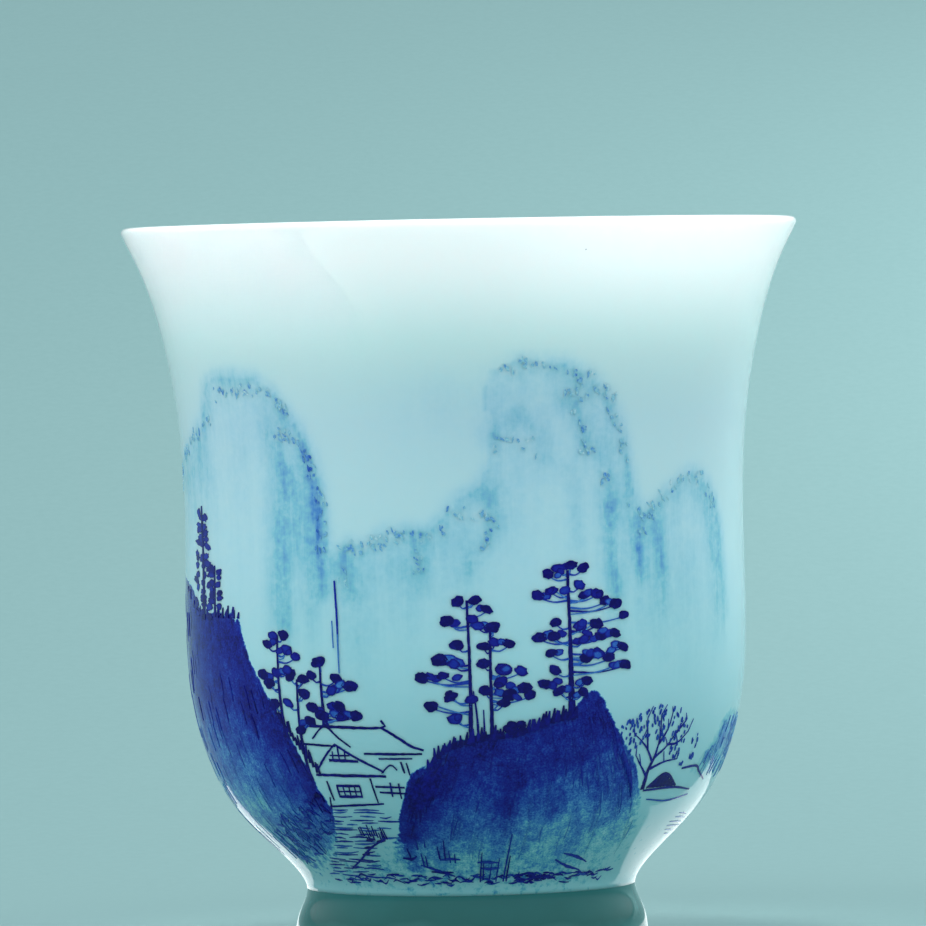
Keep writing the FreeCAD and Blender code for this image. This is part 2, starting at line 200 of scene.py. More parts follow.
HILL_TONES = [
    (-15, 13, 0.9), (-12, 16.5, 0.93), (-8, 18, 0.9), (-8, 15.4, 0.88), (-4, 19.8, 0.9),
    (0, 20.5, 0.84), (6, 20.8, 0.88), (12, 21.5, 0.88), (20, 22.5, 0.86), (26, 24.4, 0.88),
    (30, 22.5, 0.82), (4, 18, 0.8), (11, 18, 0.86), (18, 19, 0.74), (26, 20, 0.8),
    (34, 19, 0.62), (0, 16, 0.66), (-3, 14, 0.6), (8, 15.6, 0.8), (16, 16, 0.58),
    (24, 16.5, 0.56), (32, 16.5, 0.52), (38, 16, 0.56), (0, 12.4, 0.44), (-6, 12.6, 0.5),
    (8, 13, 0.5), (16, 13.2, 0.38), (24, 13, 0.34), (33, 13.4, 0.36), (41, 13.4, 0.3), (45, 13.6, 0.2),
    (-12, 10.6, 0.24), (-24, 9.4, 0.16), (-36, 8.4, 0.14), (-4, 10.2, 0.2), (4, 10.6, 0.28),
    (12, 10.8, 0.24), (20, 10.8, 0.18), (28, 10.4, 0.28), (36, 10.4, 0.24), (44, 10.6, 0.16),
    (48, 9.6, 0.1), (0, 8.4, 0.2), (14, 8.4, 0.22), (26, 8.4, 0.2), (38, 8.6, 0.12)]
CLIFF_WASH = (NEAR_CLIFF, CLIFF_TONES)
HILL_WASH = (NEAR_HILL, HILL_TONES)

# The far range's skyline, closed along its misty foot
FAR_RANGE = [
    (-150, 26), (-150, 34.5), (-141, 36.4), (-131, 37), (-120, 39.6), (-109, 41),
    (-99, 44), (-88, 47), (-80, 48.7), (-71, 50.5), (-65, 51.9), (-62.5, 53.6),
    (-61, 55.6), (-57, 56.4), (-50, 56.6), (-44, 56.3), (-40.5, 55.2), (-37, 53.2),
    (-34, 51.2), (-32, 49.2), (-30.6, 46.8), (-29.8, 44.4), (-29, 41.5), (-28.3, 39.5),
    (-27, 38.8), (-24, 40.5), (-20, 40.1), (-16, 41.5), (-12, 41.6), (-8, 41.4), (-4, 42.8),
    (-1, 44.7), (3, 45.6), (5, 47.6), (5.4, 51), (4, 54), (5, 56.6), (10, 57.5),
    (15, 57.4), (20, 57.1), (25, 56.1), (29, 54.4), (31.6, 52.4), (33.6, 49.8), (35.2, 46.6),
    (36.6, 44), (38.6, 42.6), (41, 43.2), (45, 44.7), (48, 45.5), (52, 46.5), (55, 46.4),
    (59, 45.2), (62, 43.6), (64, 41.2), (65.4, 37.5), (66.4, 33), (67, 26)]

# Creases inside the far range: (line, strength, width in mm)
FAR_INNER_LINES = [
    ([(-41, 50.6), (-39.8, 48), (-39.2, 45.5), (-40, 42.5), (-40.6, 38), (-40, 33)], 0.34, 1.5),
    ([(-79, 46.5), (-70, 47.8), (-66, 50.2)], 0.16, 1.6),
    ([(-72, 43), (-68, 46), (-66.5, 49)], 0.16, 1.2),
    ([(-33.4, 49.4), (-31.8, 46), (-30.6, 42.5), (-30.4, 39), (-29.6, 36)], 0.46, 0.8),
    ([(-36.4, 47.5), (-35.2, 44), (-35.4, 40)], 0.2, 0.8),
    ([(5.4, 44.8), (5.8, 42.2), (3.6, 40.3), (1.6, 38.8), (0.4, 37.6)], 0.26, 0.9),
    ([(-10, 41), (-8.6, 38.8), (-8.4, 36.2)], 0.2, 0.9),
    ([(-24.5, 39.6), (-23.6, 37.4), (-23, 35.4)], 0.22, 0.8),
    ([(6, 50.6), (8.4, 51.8), (11.6, 52.3), (14.8, 50.6), (16, 48.4)], 0.2, 1.1),
    ([(21, 53.6), (23.6, 51.8), (25.4, 49.4), (27.6, 48.2), (29.4, 46.2), (30.2, 43.6)], 0.28, 1.1),
    ([(30, 43.4), (29.8, 40.5), (30.8, 38), (31.6, 35.2)], 0.36, 0.7),
    ([(36.2, 42), (37, 39.4), (37.8, 37)], 0.24, 0.8),
    ([(41.4, 42.6), (42.4, 40), (43.8, 37)], 0.24, 0.8),
    ([(54, 44.4), (57, 43.6), (60, 41.6), (61.6, 38.2)], 0.14, 1.2),
    ([(20.6, 47.2), (22.2, 44.6), (23.4, 40.4)], 0.1, 1)]

# Soft vertical runs of thin wash: (degrees, top, bottom, half width in degrees, strength)
FAR_RUNS = [
    (-38, 48, 27, 2.6, 0.14), (-32.5, 45, 28, 2, 0.2), (-64, 49, 40, 5, 0.1),
    (-76, 47, 39, 5, 0.12), (-23, 38, 25, 3.4, 0.15), (-12, 40, 29, 4, 0.1), (-2, 42, 31, 4, 0.1),
    (8, 47, 38, 3, 0.07), (31.5, 44, 27, 2.4, 0.2), (37.5, 42, 28, 2.6, 0.16),
    (43, 42, 28, 2.8, 0.18), (51, 40, 30, 3.2, 0.08), (62.5, 42, 27, 3.2, 0.14),
    (-50, 53, 42, 4, 0.05), (-3, 57, 46, 11, 0.05), (-16, 40, 22, 10, 0.05),
    (48, 44, 22, 12, 0.06), (-112, 38, 27, 8, 0.14), (-134, 35, 25, 8, 0.12), (-94, 42, 37, 6, 0.12)]
# The height in mm where the far range is lost in mist, and the density of its skyline
MIST_LEVEL = 26
SKYLINE_INK = 0.11


def far_density(x, z):
    """The thin washes at each place: the far range's cobalt, the far shore's reach and its fade."""
    degrees = x / MM_PER_DEGREE
    skyline = distance_to(FAR_RANGE[1:-1], x, z)
    sink = np.clip((z - MIST_LEVEL) / 14, 0, 1)
    mist = 1 - 0.8 * np.exp(-((degrees - 4.5) / 5) ** 2) * np.clip((z - 45) / 4, 0, 1)
    within_range = (SKYLINE_INK * mist * np.exp(-(skyline / 1.5) ** 1.3)
                    + (0.06 * np.exp(-skyline / 5) + 0.025) * sink)
    above_range = SKYLINE_INK * mist * np.exp(-(skyline / 0.8) ** 2)
    density = np.where(signed_distance(FAR_RANGE, x, z) > 0, within_range, above_range)
    for line, strength, width in FAR_INNER_LINES:
        density += 0.5 * strength * np.exp(-(distance_to(line, x, z) / width) ** 1.6)
    for middle, top, bottom, half, strength in FAR_RUNS:
        across = np.exp(-((degrees - middle) / half) ** 2)
        along = np.clip((top + 1 - z) / 3, 0, 1) * np.clip((z - bottom) / 7, 0, 1)
        density += 0.55 * strength * across * along
    shore = signed_distance(FAR_LAND_RIGHT, x, z)
    fade = np.clip((z - 15.4) / 4, 0.12, 1)
    return np.clip(density, 0, 0.62), np.maximum(shore, -1), fade


# ---------------------------------------------------------------- the bowl

def turned_mesh(profile, first_height, last_height):
    """The vertices and faces of a closed form turned from (radius, height) rows, in metres."""
    angle = np.radians(np.linspace(-180, 180, COLUMNS, endpoint=False))
    r, h = profile[:, 0][:, None], profile[:, 1][:, None]
    rings = np.stack([r * np.sin(angle), -r * np.cos(angle), h + 0 * angle], axis=-1).reshape(-1, 3)
    ends = [[0, 0, last_height], [0, 0, first_height]]
    last_ring = (len(profile) - 1) * COLUMNS
    last_end, first_end = len(rings), len(rings) + 1
    neighbours = [(j, (j + 1) % COLUMNS) for j in range(COLUMNS)]
    faces = [(i + j, i + k, i + COLUMNS + k, i + COLUMNS + j)
             for i in range(0, last_ring, COLUMNS) for j, k in neighbours]
    for j, k in neighbours:
        faces += [(last_ring + j, last_ring + k, last_end), (k, j, first_end)]
    return np.vstack([rings, ends]) * MM, faces


def near_washes(x, z):
    """The near land at each place: how deep inside it, how dark, and which way its streaks fan."""
    cliff = signed_distance(NEAR_CLIFF, x, z)
    hill = signed_distance(NEAR_HILL, x, z)
    # The washes dissolve at their feet, from higher up beside the boat
    dissolves_below = np.where(x > 34 * MM_PER_DEGREE, 16.5, 13)
    soft = 1 + 12 * np.clip((dissolves_below - z) / 4.5, 0, 1)
    depth = np.clip(np.maximum(cliff, hill), -2, 6) / soft
    on_cliff = cliff > hill
    tone = np.where(on_cliff, tone_field(CLIFF_TONES, x, z), tone_field(HILL_TONES, x, z))
    # Streaks fan out from a place high over each summit
    cliff_fan = np.arctan2(x + 68 * MM_PER_DEGREE, 64 - z) * 30
    hill_fan = np.arctan2(x - 12 * MM_PER_DEGREE, 38 - z) * 14
    return depth, tone, np.where(on_cliff, cliff_fan, hill_fan)


def make_bowl():
    """The whole bowl as one closed turned mesh, with its washes as fields on the outside."""
    painted_top, lip_root = 58, HEIGHT - 0.9
    z = np.concatenate([np.arange(WAIST[1], painted_top, 0.4), np.arange(painted_top, lip_root, 0.75)])
    turns = np.linspace(0, math.pi, 13)[:, None]
    lip = lip_centre + LIP_RADIUS * (np.cos(turns) * lip_across + np.sin(turns) * lip_along)
    inside = INNER_LINE[::-1][1:-1]
    profile = np.vstack([np.column_stack([wall_radius(z), z]), lip, inside])
    verts, faces = turned_mesh(profile, WAIST[1], INNER_LINE[0][1])
    bowl = make_object("glazed_bowl", verts, faces)

    # 1 inside the bowl, fading out over the 3 mm under the lip: where the inside's painted shade is laid
    within = np.zeros(len(verts))
    within[(len(z) + len(lip)) * COLUMNS:] = 1
    within *= np.clip(((HEIGHT - 0.6) * MM - verts[:, 2]) / (3 * MM), 0, 1)
    add_attribute(bowl.data, "within", within)
    degrees, height = np.meshgrid(np.linspace(-180, 180, COLUMNS, endpoint=False), z)
    x = degrees * MM_PER_DEGREE
    far, shore, fade = far_density(x, height)
    near, tone, fan = near_washes(x, height)
    for name, field, elsewhere in (("far", far, 0), ("shore", shore, -1), ("shore_fade", fade, 0),
                                   ("near", near, -2), ("tone", tone, 0), ("fan", fan, 0)):
        values = np.full(len(verts), elsewhere, float)
        values[:field.size] = field.ravel()
        add_attribute(bowl.data, name, values)
    return bowl


# ---------------------------------------------------------------- brush marks

class Ink:
    """Brush marks that make one piece: flat-topped slabs on the wall, each a hair over the last."""

    # In mm: how much prouder each mark is than the last, and how far the marks reach into the wall
    LAYER, ROOT = 0.0004, -0.05
    AROUND = 14

    def __init__(self, base):
        self.verts, self.faces, self.ink = [], [], []
        self.base = base
        self.marks = 0

    def _lift(self):
        self.marks += 1
        return self.base + self.LAYER * self.marks

    def _place(self, x, z, lift, ink):
        """Adds vertices at flat places, x in mm at the front's mean radius, and returns the first."""
        first = sum(len(v) for v in self.verts)
        self.verts.append(on_wall(np.asarray(x) / MM_PER_DEGREE, z, lift))
        self.ink.append(np.broadcast_to(ink, np.shape(z)).ravel())
        return first

    def stroke(self, points, widths, ink=0.95, step=0.3, wobble=0.12):
        """A brush line through (degrees, height) places, with widths in mm along its length."""
        path = smooth_path(np.array(points, float) * (MM_PER_DEGREE, 1), step)
        n = len(path)
        along = np.gradient(path, axis=0)
        along /= np.maximum(np.hypot(along[:, 0], along[:, 1]), 1e-6)[:, None]
        side = np.column_stack([-along[:, 1], along[:, 0]])
        width = np.interp(np.linspace(0, 1, n), np.linspace(0, 1, len(widths)), widths)
        rough = np.array([[1 + wobble * uniform(-1, 1) for _ in range(2)] for _ in range(n)])
        lift = self._lift()
        across = (-1, -0.5, 0.5, 1)
        top = [path + side * (width * s * 0.5 * rough[:, 0 if s < 0 else 1])[:, None] for s in across]
        rows = top + [top[3], top[0]]
        starts = [self._place(row[:, 0], row[:, 1], level, ink)
                  for row, level in zip(rows, [lift] * 4 + [self.ROOT] * 2)]
        first = starts[0]
        for a in range(6):
            b = (a + 1) % 6
            for i in range(n - 1):
                self.faces.append((first + a * n + i, first + a * n + i + 1,
                                   first + b * n + i + 1, first + b * n + i)[::-1])
        self.faces.append(tuple(first + a * n for a in range(6)))
        self.faces.append(tuple(first + a * n + n - 1 for a in range(6))[::-1])

    def dab(self, place, half_length, half_height, tilt=0, ink=0.95, rim=None, wobble=0.1):
        """One press of the brush: a rounded blot, tilted by degrees, with ink at its middle and rim."""
        a = np.arange(self.AROUND) * 2 * math.pi / self.AROUND
        c, s = math.cos(math.radians(tilt)), math.sin(math.radians(tilt))
        uneven = np.array([1 + wobble * uniform(-1, 1) for _ in range(self.AROUND)])
        x0, z0 = place[0] * MM_PER_DEGREE, place[1]
        lift = self._lift()

        def ring(scale, level, tone):
            u = half_length * np.cos(a) * scale * uneven
            v = half_height * np.sin(a) * scale * uneven
            return self._place(x0 + u * c - v * s, z0 + u * s + v * c, level, tone)

        rim = ink if rim is None else rim
        middle = self._place([x0], [z0], lift, ink)
        inner = ring(0.55, lift, ink)
        outer = ring(1, lift, rim)
        root = ring(1, self.ROOT, rim)
        base = self._place([x0], [z0], self.ROOT, ink)
        for i in range(self.AROUND):
            j = (i + 1) % self.AROUND
            self.faces += [(middle, inner + i, inner + j), (inner + i, outer + i, outer + j, inner + j),
                           (outer + i, root + i, root + j, outer + j), (root + i, base, root + j)]

    def finish(self, name, node, slot, material):
        """Makes the marks one object, in the place of a CAD node."""
        obj = make_object(name, np.vstack(self.verts), self.faces, crease=50)
        add_attribute(obj.data, "ink", np.concatenate(self.ink))
        obj.data.materials.append(material)
        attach(obj, "root")
        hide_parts(node)


def jitter(place, dx, dz):
    """The place moved at random by up to dx degrees and dz mm."""
    return (place[0] + uniform(-dx, dx), place[1] + uniform(-dz, dz))


def blade(foot, aside, tall):
    """A short upward mark from its foot: two places, the upper one at random within the ranges."""
    return [foot, (foot[0] + uniform(*aside), foot[1] + uniform(*tall))]


def needle_pad(ink, place, size, dark, trunk):
    """A pine's pad of needles: a heavy press of the brush, with paler ovals on the trunk's side."""
    degrees, z = place
    half_length, half_height = 0.36 + 0.38 * size, 0.34 + 0.16 * size
    inward = 1 if trunk > degrees else -1
    for reach in (2, 1.15):
        if random.random() < size - 0.35 and abs(trunk - degrees) > 2.0 * reach:
            away = inward * half_length * reach * uniform(0.85, 1.1) / MM_PER_DEGREE
            ink.dab((degrees + away, z + uniform(-0.3, 0.3)), half_length * uniform(0.65, 0.9),
                    half_height * uniform(0.65, 0.85), uniform(-25, 25),
                    uniform(0.42, 0.8), uniform(0.86, 0.95), 0.14)
    heavy = uniform(0.93, 1) if random.random() < 8 * (dark - 0.86) else uniform(0.7, 0.86)
    ink.dab(place, half_length, half_height * uniform(0.85, 1.1), uniform(-25, 25),
            heavy, 0.97, 0.14)
    if size > 0.85:
        ink.dab(jitter(place, 0.7, 0.3), half_length * 0.55, half_height * 0.6, uniform(-30, 30),
                heavy + 0.03, 1, 0.14)


def pine(ink, foot, top, width, pads):
    """A pine's twigs, trunk and pads of needles, each pad a (degrees, height, size, darkness)."""
    lean = uniform(-0.25, 0.25)
    middle = ((foot[0] + top[0]) / 2 + lean, (foot[1] + top[1]) / 2)
    for degrees, z, size, _ in pads:
        join = min(max(z - 0.55, foot[1] + 0.6), top[1] - 0.3)
        trunk = foot[0] + (top[0] - foot[0]) * (join - foot[1]) / (top[1] - foot[1])
        bend = ((trunk + degrees) / 2, min(join, z) - 0.12)
        ink.stroke([(trunk, join), bend, (degrees, z - 0.2)], [0.22, 0.14, 0.1],
                   random.choice((0.5, 0.62, 0.85)), 0.4)
        if size > 0.8:
            ink.stroke([(trunk, join - 0.35), jitter(bend, 0.4, 0.3), (degrees, z + 0.25)],
                       [0.1, 0.14, 0.08], uniform(0.34, 0.5), 0.4)
    ink.stroke([foot, middle, top], [width, width * 0.72, width * 0.5], 0.97, 0.4, 0.2)
    ink.stroke([(foot[0] - 0.5, foot[1]), (foot[0] - 0.1, foot[1] + 1.3)], [0.3, 0.16], 0.92)
    ink.stroke([(foot[0] + 0.6, foot[1] - 0.1), (foot[0] + 0.1, foot[1] + 1.1)], [0.3, 0.14], 0.92)
    for degrees, z, size, dark in pads:
        needle_pad(ink, (degrees, z), size, dark, foot[0])


# ---------------------------------------------------------------- the painted subjects

def paint_cypress(ink):
    z, reach = 43.1, 0.5
    while z > 33.5:
        for side in (-1, 0, 1):
            spot = jitter((-67.6 + side * reach / MM_PER_DEGREE, z - 0.15 * (1 + side)), 1, 0.22)
            ink.dab(spot, uniform(0.4, 1), uniform(0.24, 0.42), side * uniform(-10, 20),
                    uniform(0.66, 0.97), 0.95, 0.24)
        z -= uniform(0.55, 0.95)
        reach = min(reach + 0.17, 1.9)
    ink.stroke([(-67.2, 33), (-67.3, 38), (-67.9, 44)], [0.6, 0.42, 0.3], 0.97)
    z = 37.9
    while z > 33.8:
        for side in (-1, 1):
            ink.dab(jitter((-61.6 + side * 1.5, z - 0.15 * side), 0.6, 0.1), uniform(0.45, 0.7),
                    uniform(0.24, 0.36), side * 8, uniform(0.75, 0.95), 0.95, 0.2)
        z -= uniform(0.62, 0.85)
    ink.stroke([(-61.8, 33.6), (-61.7, 38.3)], [0.4, 0.2], 0.95)
    for k in range(11):
        foot = (-80 + k * 2.5 + uniform(-0.6, 0.6), 33.5 + max(0, 3 - k) * 0.7)
        ink.stroke(blade(foot, (-0.8, 0.8), (0.4, 1)), [0.6, 0.2], 0.9)


def paint_left_pines(ink):
    pine(ink, (-37.2, 17.9), (-36.6, 27.6), 0.42,
         [(-38.2, 28, 1, 0.97), (-34.9, 27.6, 0.9, 0.95), (-35, 26.2, 1.1, 0.97),
          (-39.4, 25.3, 0.8, 0.93), (-37, 22.7, 0.8, 1), (-34.2, 23.6, 0.9, 0.98)])
    pine(ink, (-41.2, 22), (-41.2, 31.8), 0.4,
         [(-42.4, 31.7, 0.8, 0.93), (-39.6, 31.8, 0.8, 0.93), (-44, 30.9, 0.8, 0.96),
          (-38.8, 30.4, 0.9, 0.95), (-36.6, 29.8, 0.6, 0.93), (-45.6, 28, 1, 0.97),
          (-44, 27.2, 1.1, 0.95), (-41.8, 28.2, 0.7, 0.9), (-38.9, 28.5, 0.6, 0.85),
          (-43, 25.2, 0.8, 0.95)])
    pine(ink, (-30.6, 23.2), (-30.8, 29.2), 0.36,
         [(-31, 29.3, 1.3, 0.98), (-33, 28, 0.7, 0.93), (-27.2, 27.7, 0.8, 0.95),
          (-24.2, 27, 1.35, 1), (-28.4, 26.6, 0.7, 0.88), (-33.2, 24.9, 1, 0.98),
          (-27, 25, 0.9, 0.95), (-31.2, 24.2, 1.2, 0.98), (-26.4, 24.1, 1.1, 0.97),
          (-23.2, 24.2, 0.9, 0.95)])
    for k in range(16):
        foot = (-43.6 + k * 0.62, 24.6 - k * 0.42)
        ink.stroke(blade(foot, (-0.3, 0.5), (0.5, 1.5)), [0.32, 0.12], uniform(0.9, 1))
    ink.stroke([(-27, 37), (-26.6, 34), (-26.5, 31.8)], [0.16, 0.2, 0.16], 0.72)
    ink.stroke([(-26.5, 31.9), (-26.4, 28.2)], [0.16, 0.1], 0.42)
    ink.stroke([(-27.7, 33.2), (-27.5, 30.6)], [0.1, 0.1], 0.4)


def paint_centre_pines(ink):
    pine(ink, (5, 21.6), (4.7, 32.4), 0.42,
         [(2.2, 32.6, 0.7, 0.93), (5.2, 32.4, 1.1, 0.97), (5.6, 31, 0.7, 0.85),
          (8.4, 30.8, 0.7, 0.97), (3.4, 30.6, 0.8, 0.93), (3.3, 29, 0.8, 0.95),
          (7.2, 28.4, 1.2, 0.88), (10.8, 28.2, 0.8, 0.97), (6.6, 27.2, 1, 0.82),
          (11.6, 26.6, 1, 0.98), (8.4, 26, 1.1, 1), (12.6, 25.9, 0.7, 0.97),
          (7.2, 25.2, 0.9, 0.97), (3.6, 26.4, 0.7, 0.9)])
    pine(ink, (0.6, 21.2), (0.2, 35), 0.44,
         [(-1.6, 34.9, 0.8, 0.93), (1.8, 35, 0.9, 0.95), (4.1, 34.1, 0.7, 0.98),
          (-3.8, 33.1, 0.95, 1), (1.2, 33.2, 0.6, 0.7), (-2, 30.8, 0.8, 0.97),
          (-5.4, 29.4, 1.35, 1.02), (-2.6, 29, 0.6, 0.8), (-9, 27.7, 0.95, 0.98),
          (-4.8, 27.9, 0.7, 0.97), (-3.4, 25.9, 1, 0.96), (-7.4, 25, 1, 1),
          (-2.6, 23.8, 1.2, 0.97), (0.8, 25.6, 0.7, 0.9)])
    ink.stroke([(2.2, 21.6), (1.8, 24.2), (1.2, 26.4)], [0.3, 0.2, 0.12], 0.92)
    ink.stroke([(3.4, 21.8), (3.2, 24.6)], [0.22, 0.12], 0.9)
    for k in range(44):
        degrees = -8.5 + k * 0.72 + uniform(-0.3, 0.3)
        foot = float(np.interp(degrees, [-9, -5, 2, 10, 18, 23], [19.2, 21, 22, 22.3, 23.6, 24]))
        tall = uniform(0.35, 1) * (1.5 if 12 < degrees < 20 else 1)
        ink.stroke([(degrees, foot - 0.4), (degrees + uniform(-0.2, 0.7), foot + tall)],
                   [0.46, 0.34, 0.14], uniform(0.86, 1))
    for k in range(9):
        ink.dab(jitter((10.2, 22.8), 2.4, 0.35), 0.5, 0.34, uniform(-20, 20), 0.98, 1)


def paint_right_pine(ink):
    ink.stroke([(21.7, 23.4), (21.3, 26.5), (21, 31)], [0.85, 0.55, 0.4], 0.97)
    pine(ink, (21.4, 23.8), (20.7, 37.6), 0.5,
         [(16.6, 37.3, 0.6, 0.93), (18.8, 37.8, 0.9, 0.95), (21.5, 38.1, 0.9, 0.93),
          (24.1, 37.8, 0.8, 0.97), (14.4, 35.3, 0.8, 1), (17.2, 35.7, 0.9, 0.93),
          (23.2, 36.2, 0.7, 0.8), (24.2, 35.2, 0.8, 0.95), (27, 35.3, 0.9, 0.97),
          (28.8, 34.6, 0.8, 0.97), (31.2, 34.3, 0.9, 0.96), (33.2, 33.2, 0.6, 0.98),
          (18, 32.7, 0.8, 0.97), (14.6, 31.3, 1, 1.02), (17.6, 31.4, 0.8, 0.93),
          (23.2, 32.3, 0.9, 0.93), (26.8, 32.4, 1, 0.97), (24, 31, 0.7, 0.8),
          (27.8, 31.3, 0.8, 0.93), (31, 31.5, 0.8, 0.97), (32.8, 30.2, 0.9, 0.98),
          (17, 29.8, 0.8, 0.95), (24.6, 29.3, 1, 0.98), (27.2, 29.7, 0.9, 0.93),
          (29.6, 29.2, 0.8, 0.96), (33.4, 28.5, 0.95, 1), (17.8, 28.2, 0.8, 0.97),
          (15.6, 26.9, 0.95, 1), (18.8, 26.2, 0.9, 0.98), (24.6, 27.1, 0.7, 0.95),
          (23.9, 26, 0.6, 0.95)])


COTTAGE_LINES = [
    ([(-37.4, 23.2), (-31, 23.1), (-18.2, 23), (-18.1, 23.7)], 0.3),
    ([(-18, 23), (-14.6, 22), (-12, 21.2), (-9.4, 20.8)], 0.28),
    ([(-34.4, 21.9), (-31, 23.1), (-28, 22), (-25.4, 21.1)], 0.2),
    ([(-22.6, 20.5), (-16, 20.45), (-9.8, 20.45)], 0.24), ([(-19.4, 20), (-12, 20)], 0.18),
    ([(-37, 21.4), (-33, 21.3), (-29, 21.2)], 0.22), ([(-35.2, 18.6), (-32, 20.2), (-29.2, 21.4)], 0.24),
    ([(-29.2, 21.4), (-25, 20.2), (-18.6, 18.7)], 0.24), ([(-31.2, 19.85), (-24.2, 19.75)], 0.32),
    ([(-30.8, 20.3), (-26, 20.3)], 0.16), ([(-28.6, 21.2), (-28.6, 19.8)], 0.2),
    ([(-27, 20.9), (-27.2, 19.8)], 0.16), ([(-30, 20.7), (-30.2, 19.8)], 0.16),
    ([(-35.4, 18.4), (-27, 18.35), (-18.3, 18.3)], 0.3), ([(-33, 17.8), (-32.5, 15.9)], 0.22),
    ([(-22.1, 18.1), (-21.3, 15.7)], 0.2), ([(-30.8, 17.35), (-25, 17.35)], 0.28),
    ([(-30.8, 16.3), (-24.8, 16.3)], 0.28), ([(-30.7, 17.4), (-30.6, 16.3)], 0.24),
    ([(-25, 17.4), (-24.9, 16.3)], 0.22), ([(-29.2, 17.3), (-29.1, 16.3)], 0.16),
    ([(-27.7, 17.3), (-27.7, 16.3)], 0.16), ([(-26.3, 17.3), (-26.3, 16.3)], 0.16),
    ([(-30.6, 16.8), (-25, 16.8)], 0.16), ([(-34.2, 15.3), (-27, 15.45), (-20, 15.6)], 0.2),
    ([(-14.6, 19.7), (-14, 18.6)], 0.22), ([(-13.4, 19.6), (-12.9, 18.4)], 0.18),
    ([(-21.2, 17.3), (-14.4, 17.2)], 0.2), ([(-20.4, 16.75), (-14, 16.6)], 0.18),
    ([(-17.6, 17.7), (-17.5, 16.3)], 0.2), ([(-15.7, 17.6), (-15.5, 16.1)], 0.2),
    ([(-19.2, 18.6), (-17, 19.4), (-15.6, 18.9)], 0.16), ([(-34, 15.1), (-33.4, 16.2)], 0.16)]


def paint_cottage(ink):
    for line, width in COTTAGE_LINES:
        ink.stroke(line, [width * 0.8, width, width * 0.7], uniform(0.9, 1), 0.35, 0.2)


def paint_bare_tree(ink):
    ink.stroke([(43.2, 16.2), (43.2, 18), (44.2, 19.4)], [0.55, 0.4, 0.3], 0.93)
    limbs = [[(43.8, 18.9), (41.4, 20.2), (39.4, 21), (37.2, 21.7)],
             [(41.6, 20.1), (40.6, 22), (40.2, 23.2)], [(44.2, 19.4), (44.6, 21.2), (44, 23.4)],
             [(44.6, 20.6), (46.6, 22), (47.4, 23.6)], [(44.2, 19.3), (47.4, 20.4), (50.4, 22.2)],
             [(47.6, 20.5), (50.6, 20.6), (53.6, 21.6)], [(43.6, 18.2), (47.6, 18.8), (52, 19)],
             [(42.9, 17.6), (40.6, 18.6), (38.6, 19.6)], [(49.6, 21.6), (52.4, 22.8)]]
    for limb in limbs:
        ink.stroke(limb, [0.26, 0.17, 0.09], 0.84, 0.35, 0.2)
        for end in (limb[-1], limb[-2]):
            ink.stroke(blade(end, (-1.6, 1.6), (0.5, 1.2)), [0.13, 0.07], 0.7, 0.3, 0.2)
    for _ in range(130):
        degrees = 33.5 + 24.5 * random.random()
        crown = 24.3 - 0.016 * (degrees - 44) ** 2
        z = uniform(max(18.2, 21.6 - abs(degrees - 42) * 0.3), crown)
        ink.dab((degrees, z), uniform(0.07, 0.12), uniform(0.15, 0.3),
                uniform(-25, 25), uniform(0.5, 0.8), 0.55)


def paint_boat(ink):
    for i in range(5):
        z = 16.45 + 0.22 * i
        ink.stroke([(45.0 + i * 0.8, z), (49.2, z + 0.1), (54.2 - i * 1, z)], [0.3, 0.42, 0.2], 0.97)
    ink.stroke([(44.4, 16.35), (49.3, 17.6), (54.8, 16.35)], [0.2, 0.34, 0.2], 0.95)
    ink.stroke([(43.6, 16.1), (54, 16.2), (62.4, 15.8)], [0.16, 0.24, 0.12], 0.85)
    ink.stroke([(55, 18), (61, 18.1), (64, 17.4), (68.4, 16.6)], [0.18, 0.26, 0.12], 0.85)
    ink.stroke([(46, 15.2), (54, 14.9), (63, 15.3)], [0.1, 0.16, 0.1], 0.6)
    for i in range(6):
        half = 7.0 * math.sin(math.pi * (0.14 + 0.72 * i / 5)) + uniform(-1.5, 1)
        middle, z = 68.5 + 0.8 * i + uniform(-1.2, 1.2), 13.3 - 0.42 * i
        ink.stroke([(middle - half, z + 0.1), (middle, z), (middle + half, z - 0.15)],
                   [0.05, uniform(0.1, 0.18), 0.05], uniform(0.34, 0.5), 0.5, 0.3)


def slope_strokes(ink, count, wash, top, bottom, width):
    """Faint brush strokes that run down a hillside, from places along top to places along bottom."""
    for _ in range(count):
        t = random.random()
        start, end = (jitter([np.interp(t, [0, 0.5, 1], axis) for axis in zip(*line)], 1.2, 1)
                      for line in (top, bottom))
        a = uniform(0, 0.75)
        b = a + uniform(0.08, 0.2)
        run = [jitter((start[0] + (end[0] - start[0]) * f, start[1] + (end[1] - start[1]) * f), 0.3, 0.1)
               for f in (a, (a + b) / 2, b)]
        local_stroke(ink, run, wash, width, (-0.08, 0.1))


def lies_inside(outline, run):
    """Whether every place of the run is well inside the outline."""
    spots = np.array(run) * (MM_PER_DEGREE, 1)
    return signed_distance(outline, spots[:, 0], spots[:, 1]).min() > 0.12


def local_stroke(ink, run, wash, width, shade):
    """One stroke inside a wash, only a little darker or paler than the wash is there."""
    outline, tones = wash
    if lies_inside(outline, run):
        degrees, z = run[1]
        tone = float(tone_field(tones, np.array([degrees * MM_PER_DEGREE]), np.array([z]))[0])
        ink.stroke(run, [0.05, uniform(*width), 0.05], tone + uniform(*shade), 0.5, 0.3)


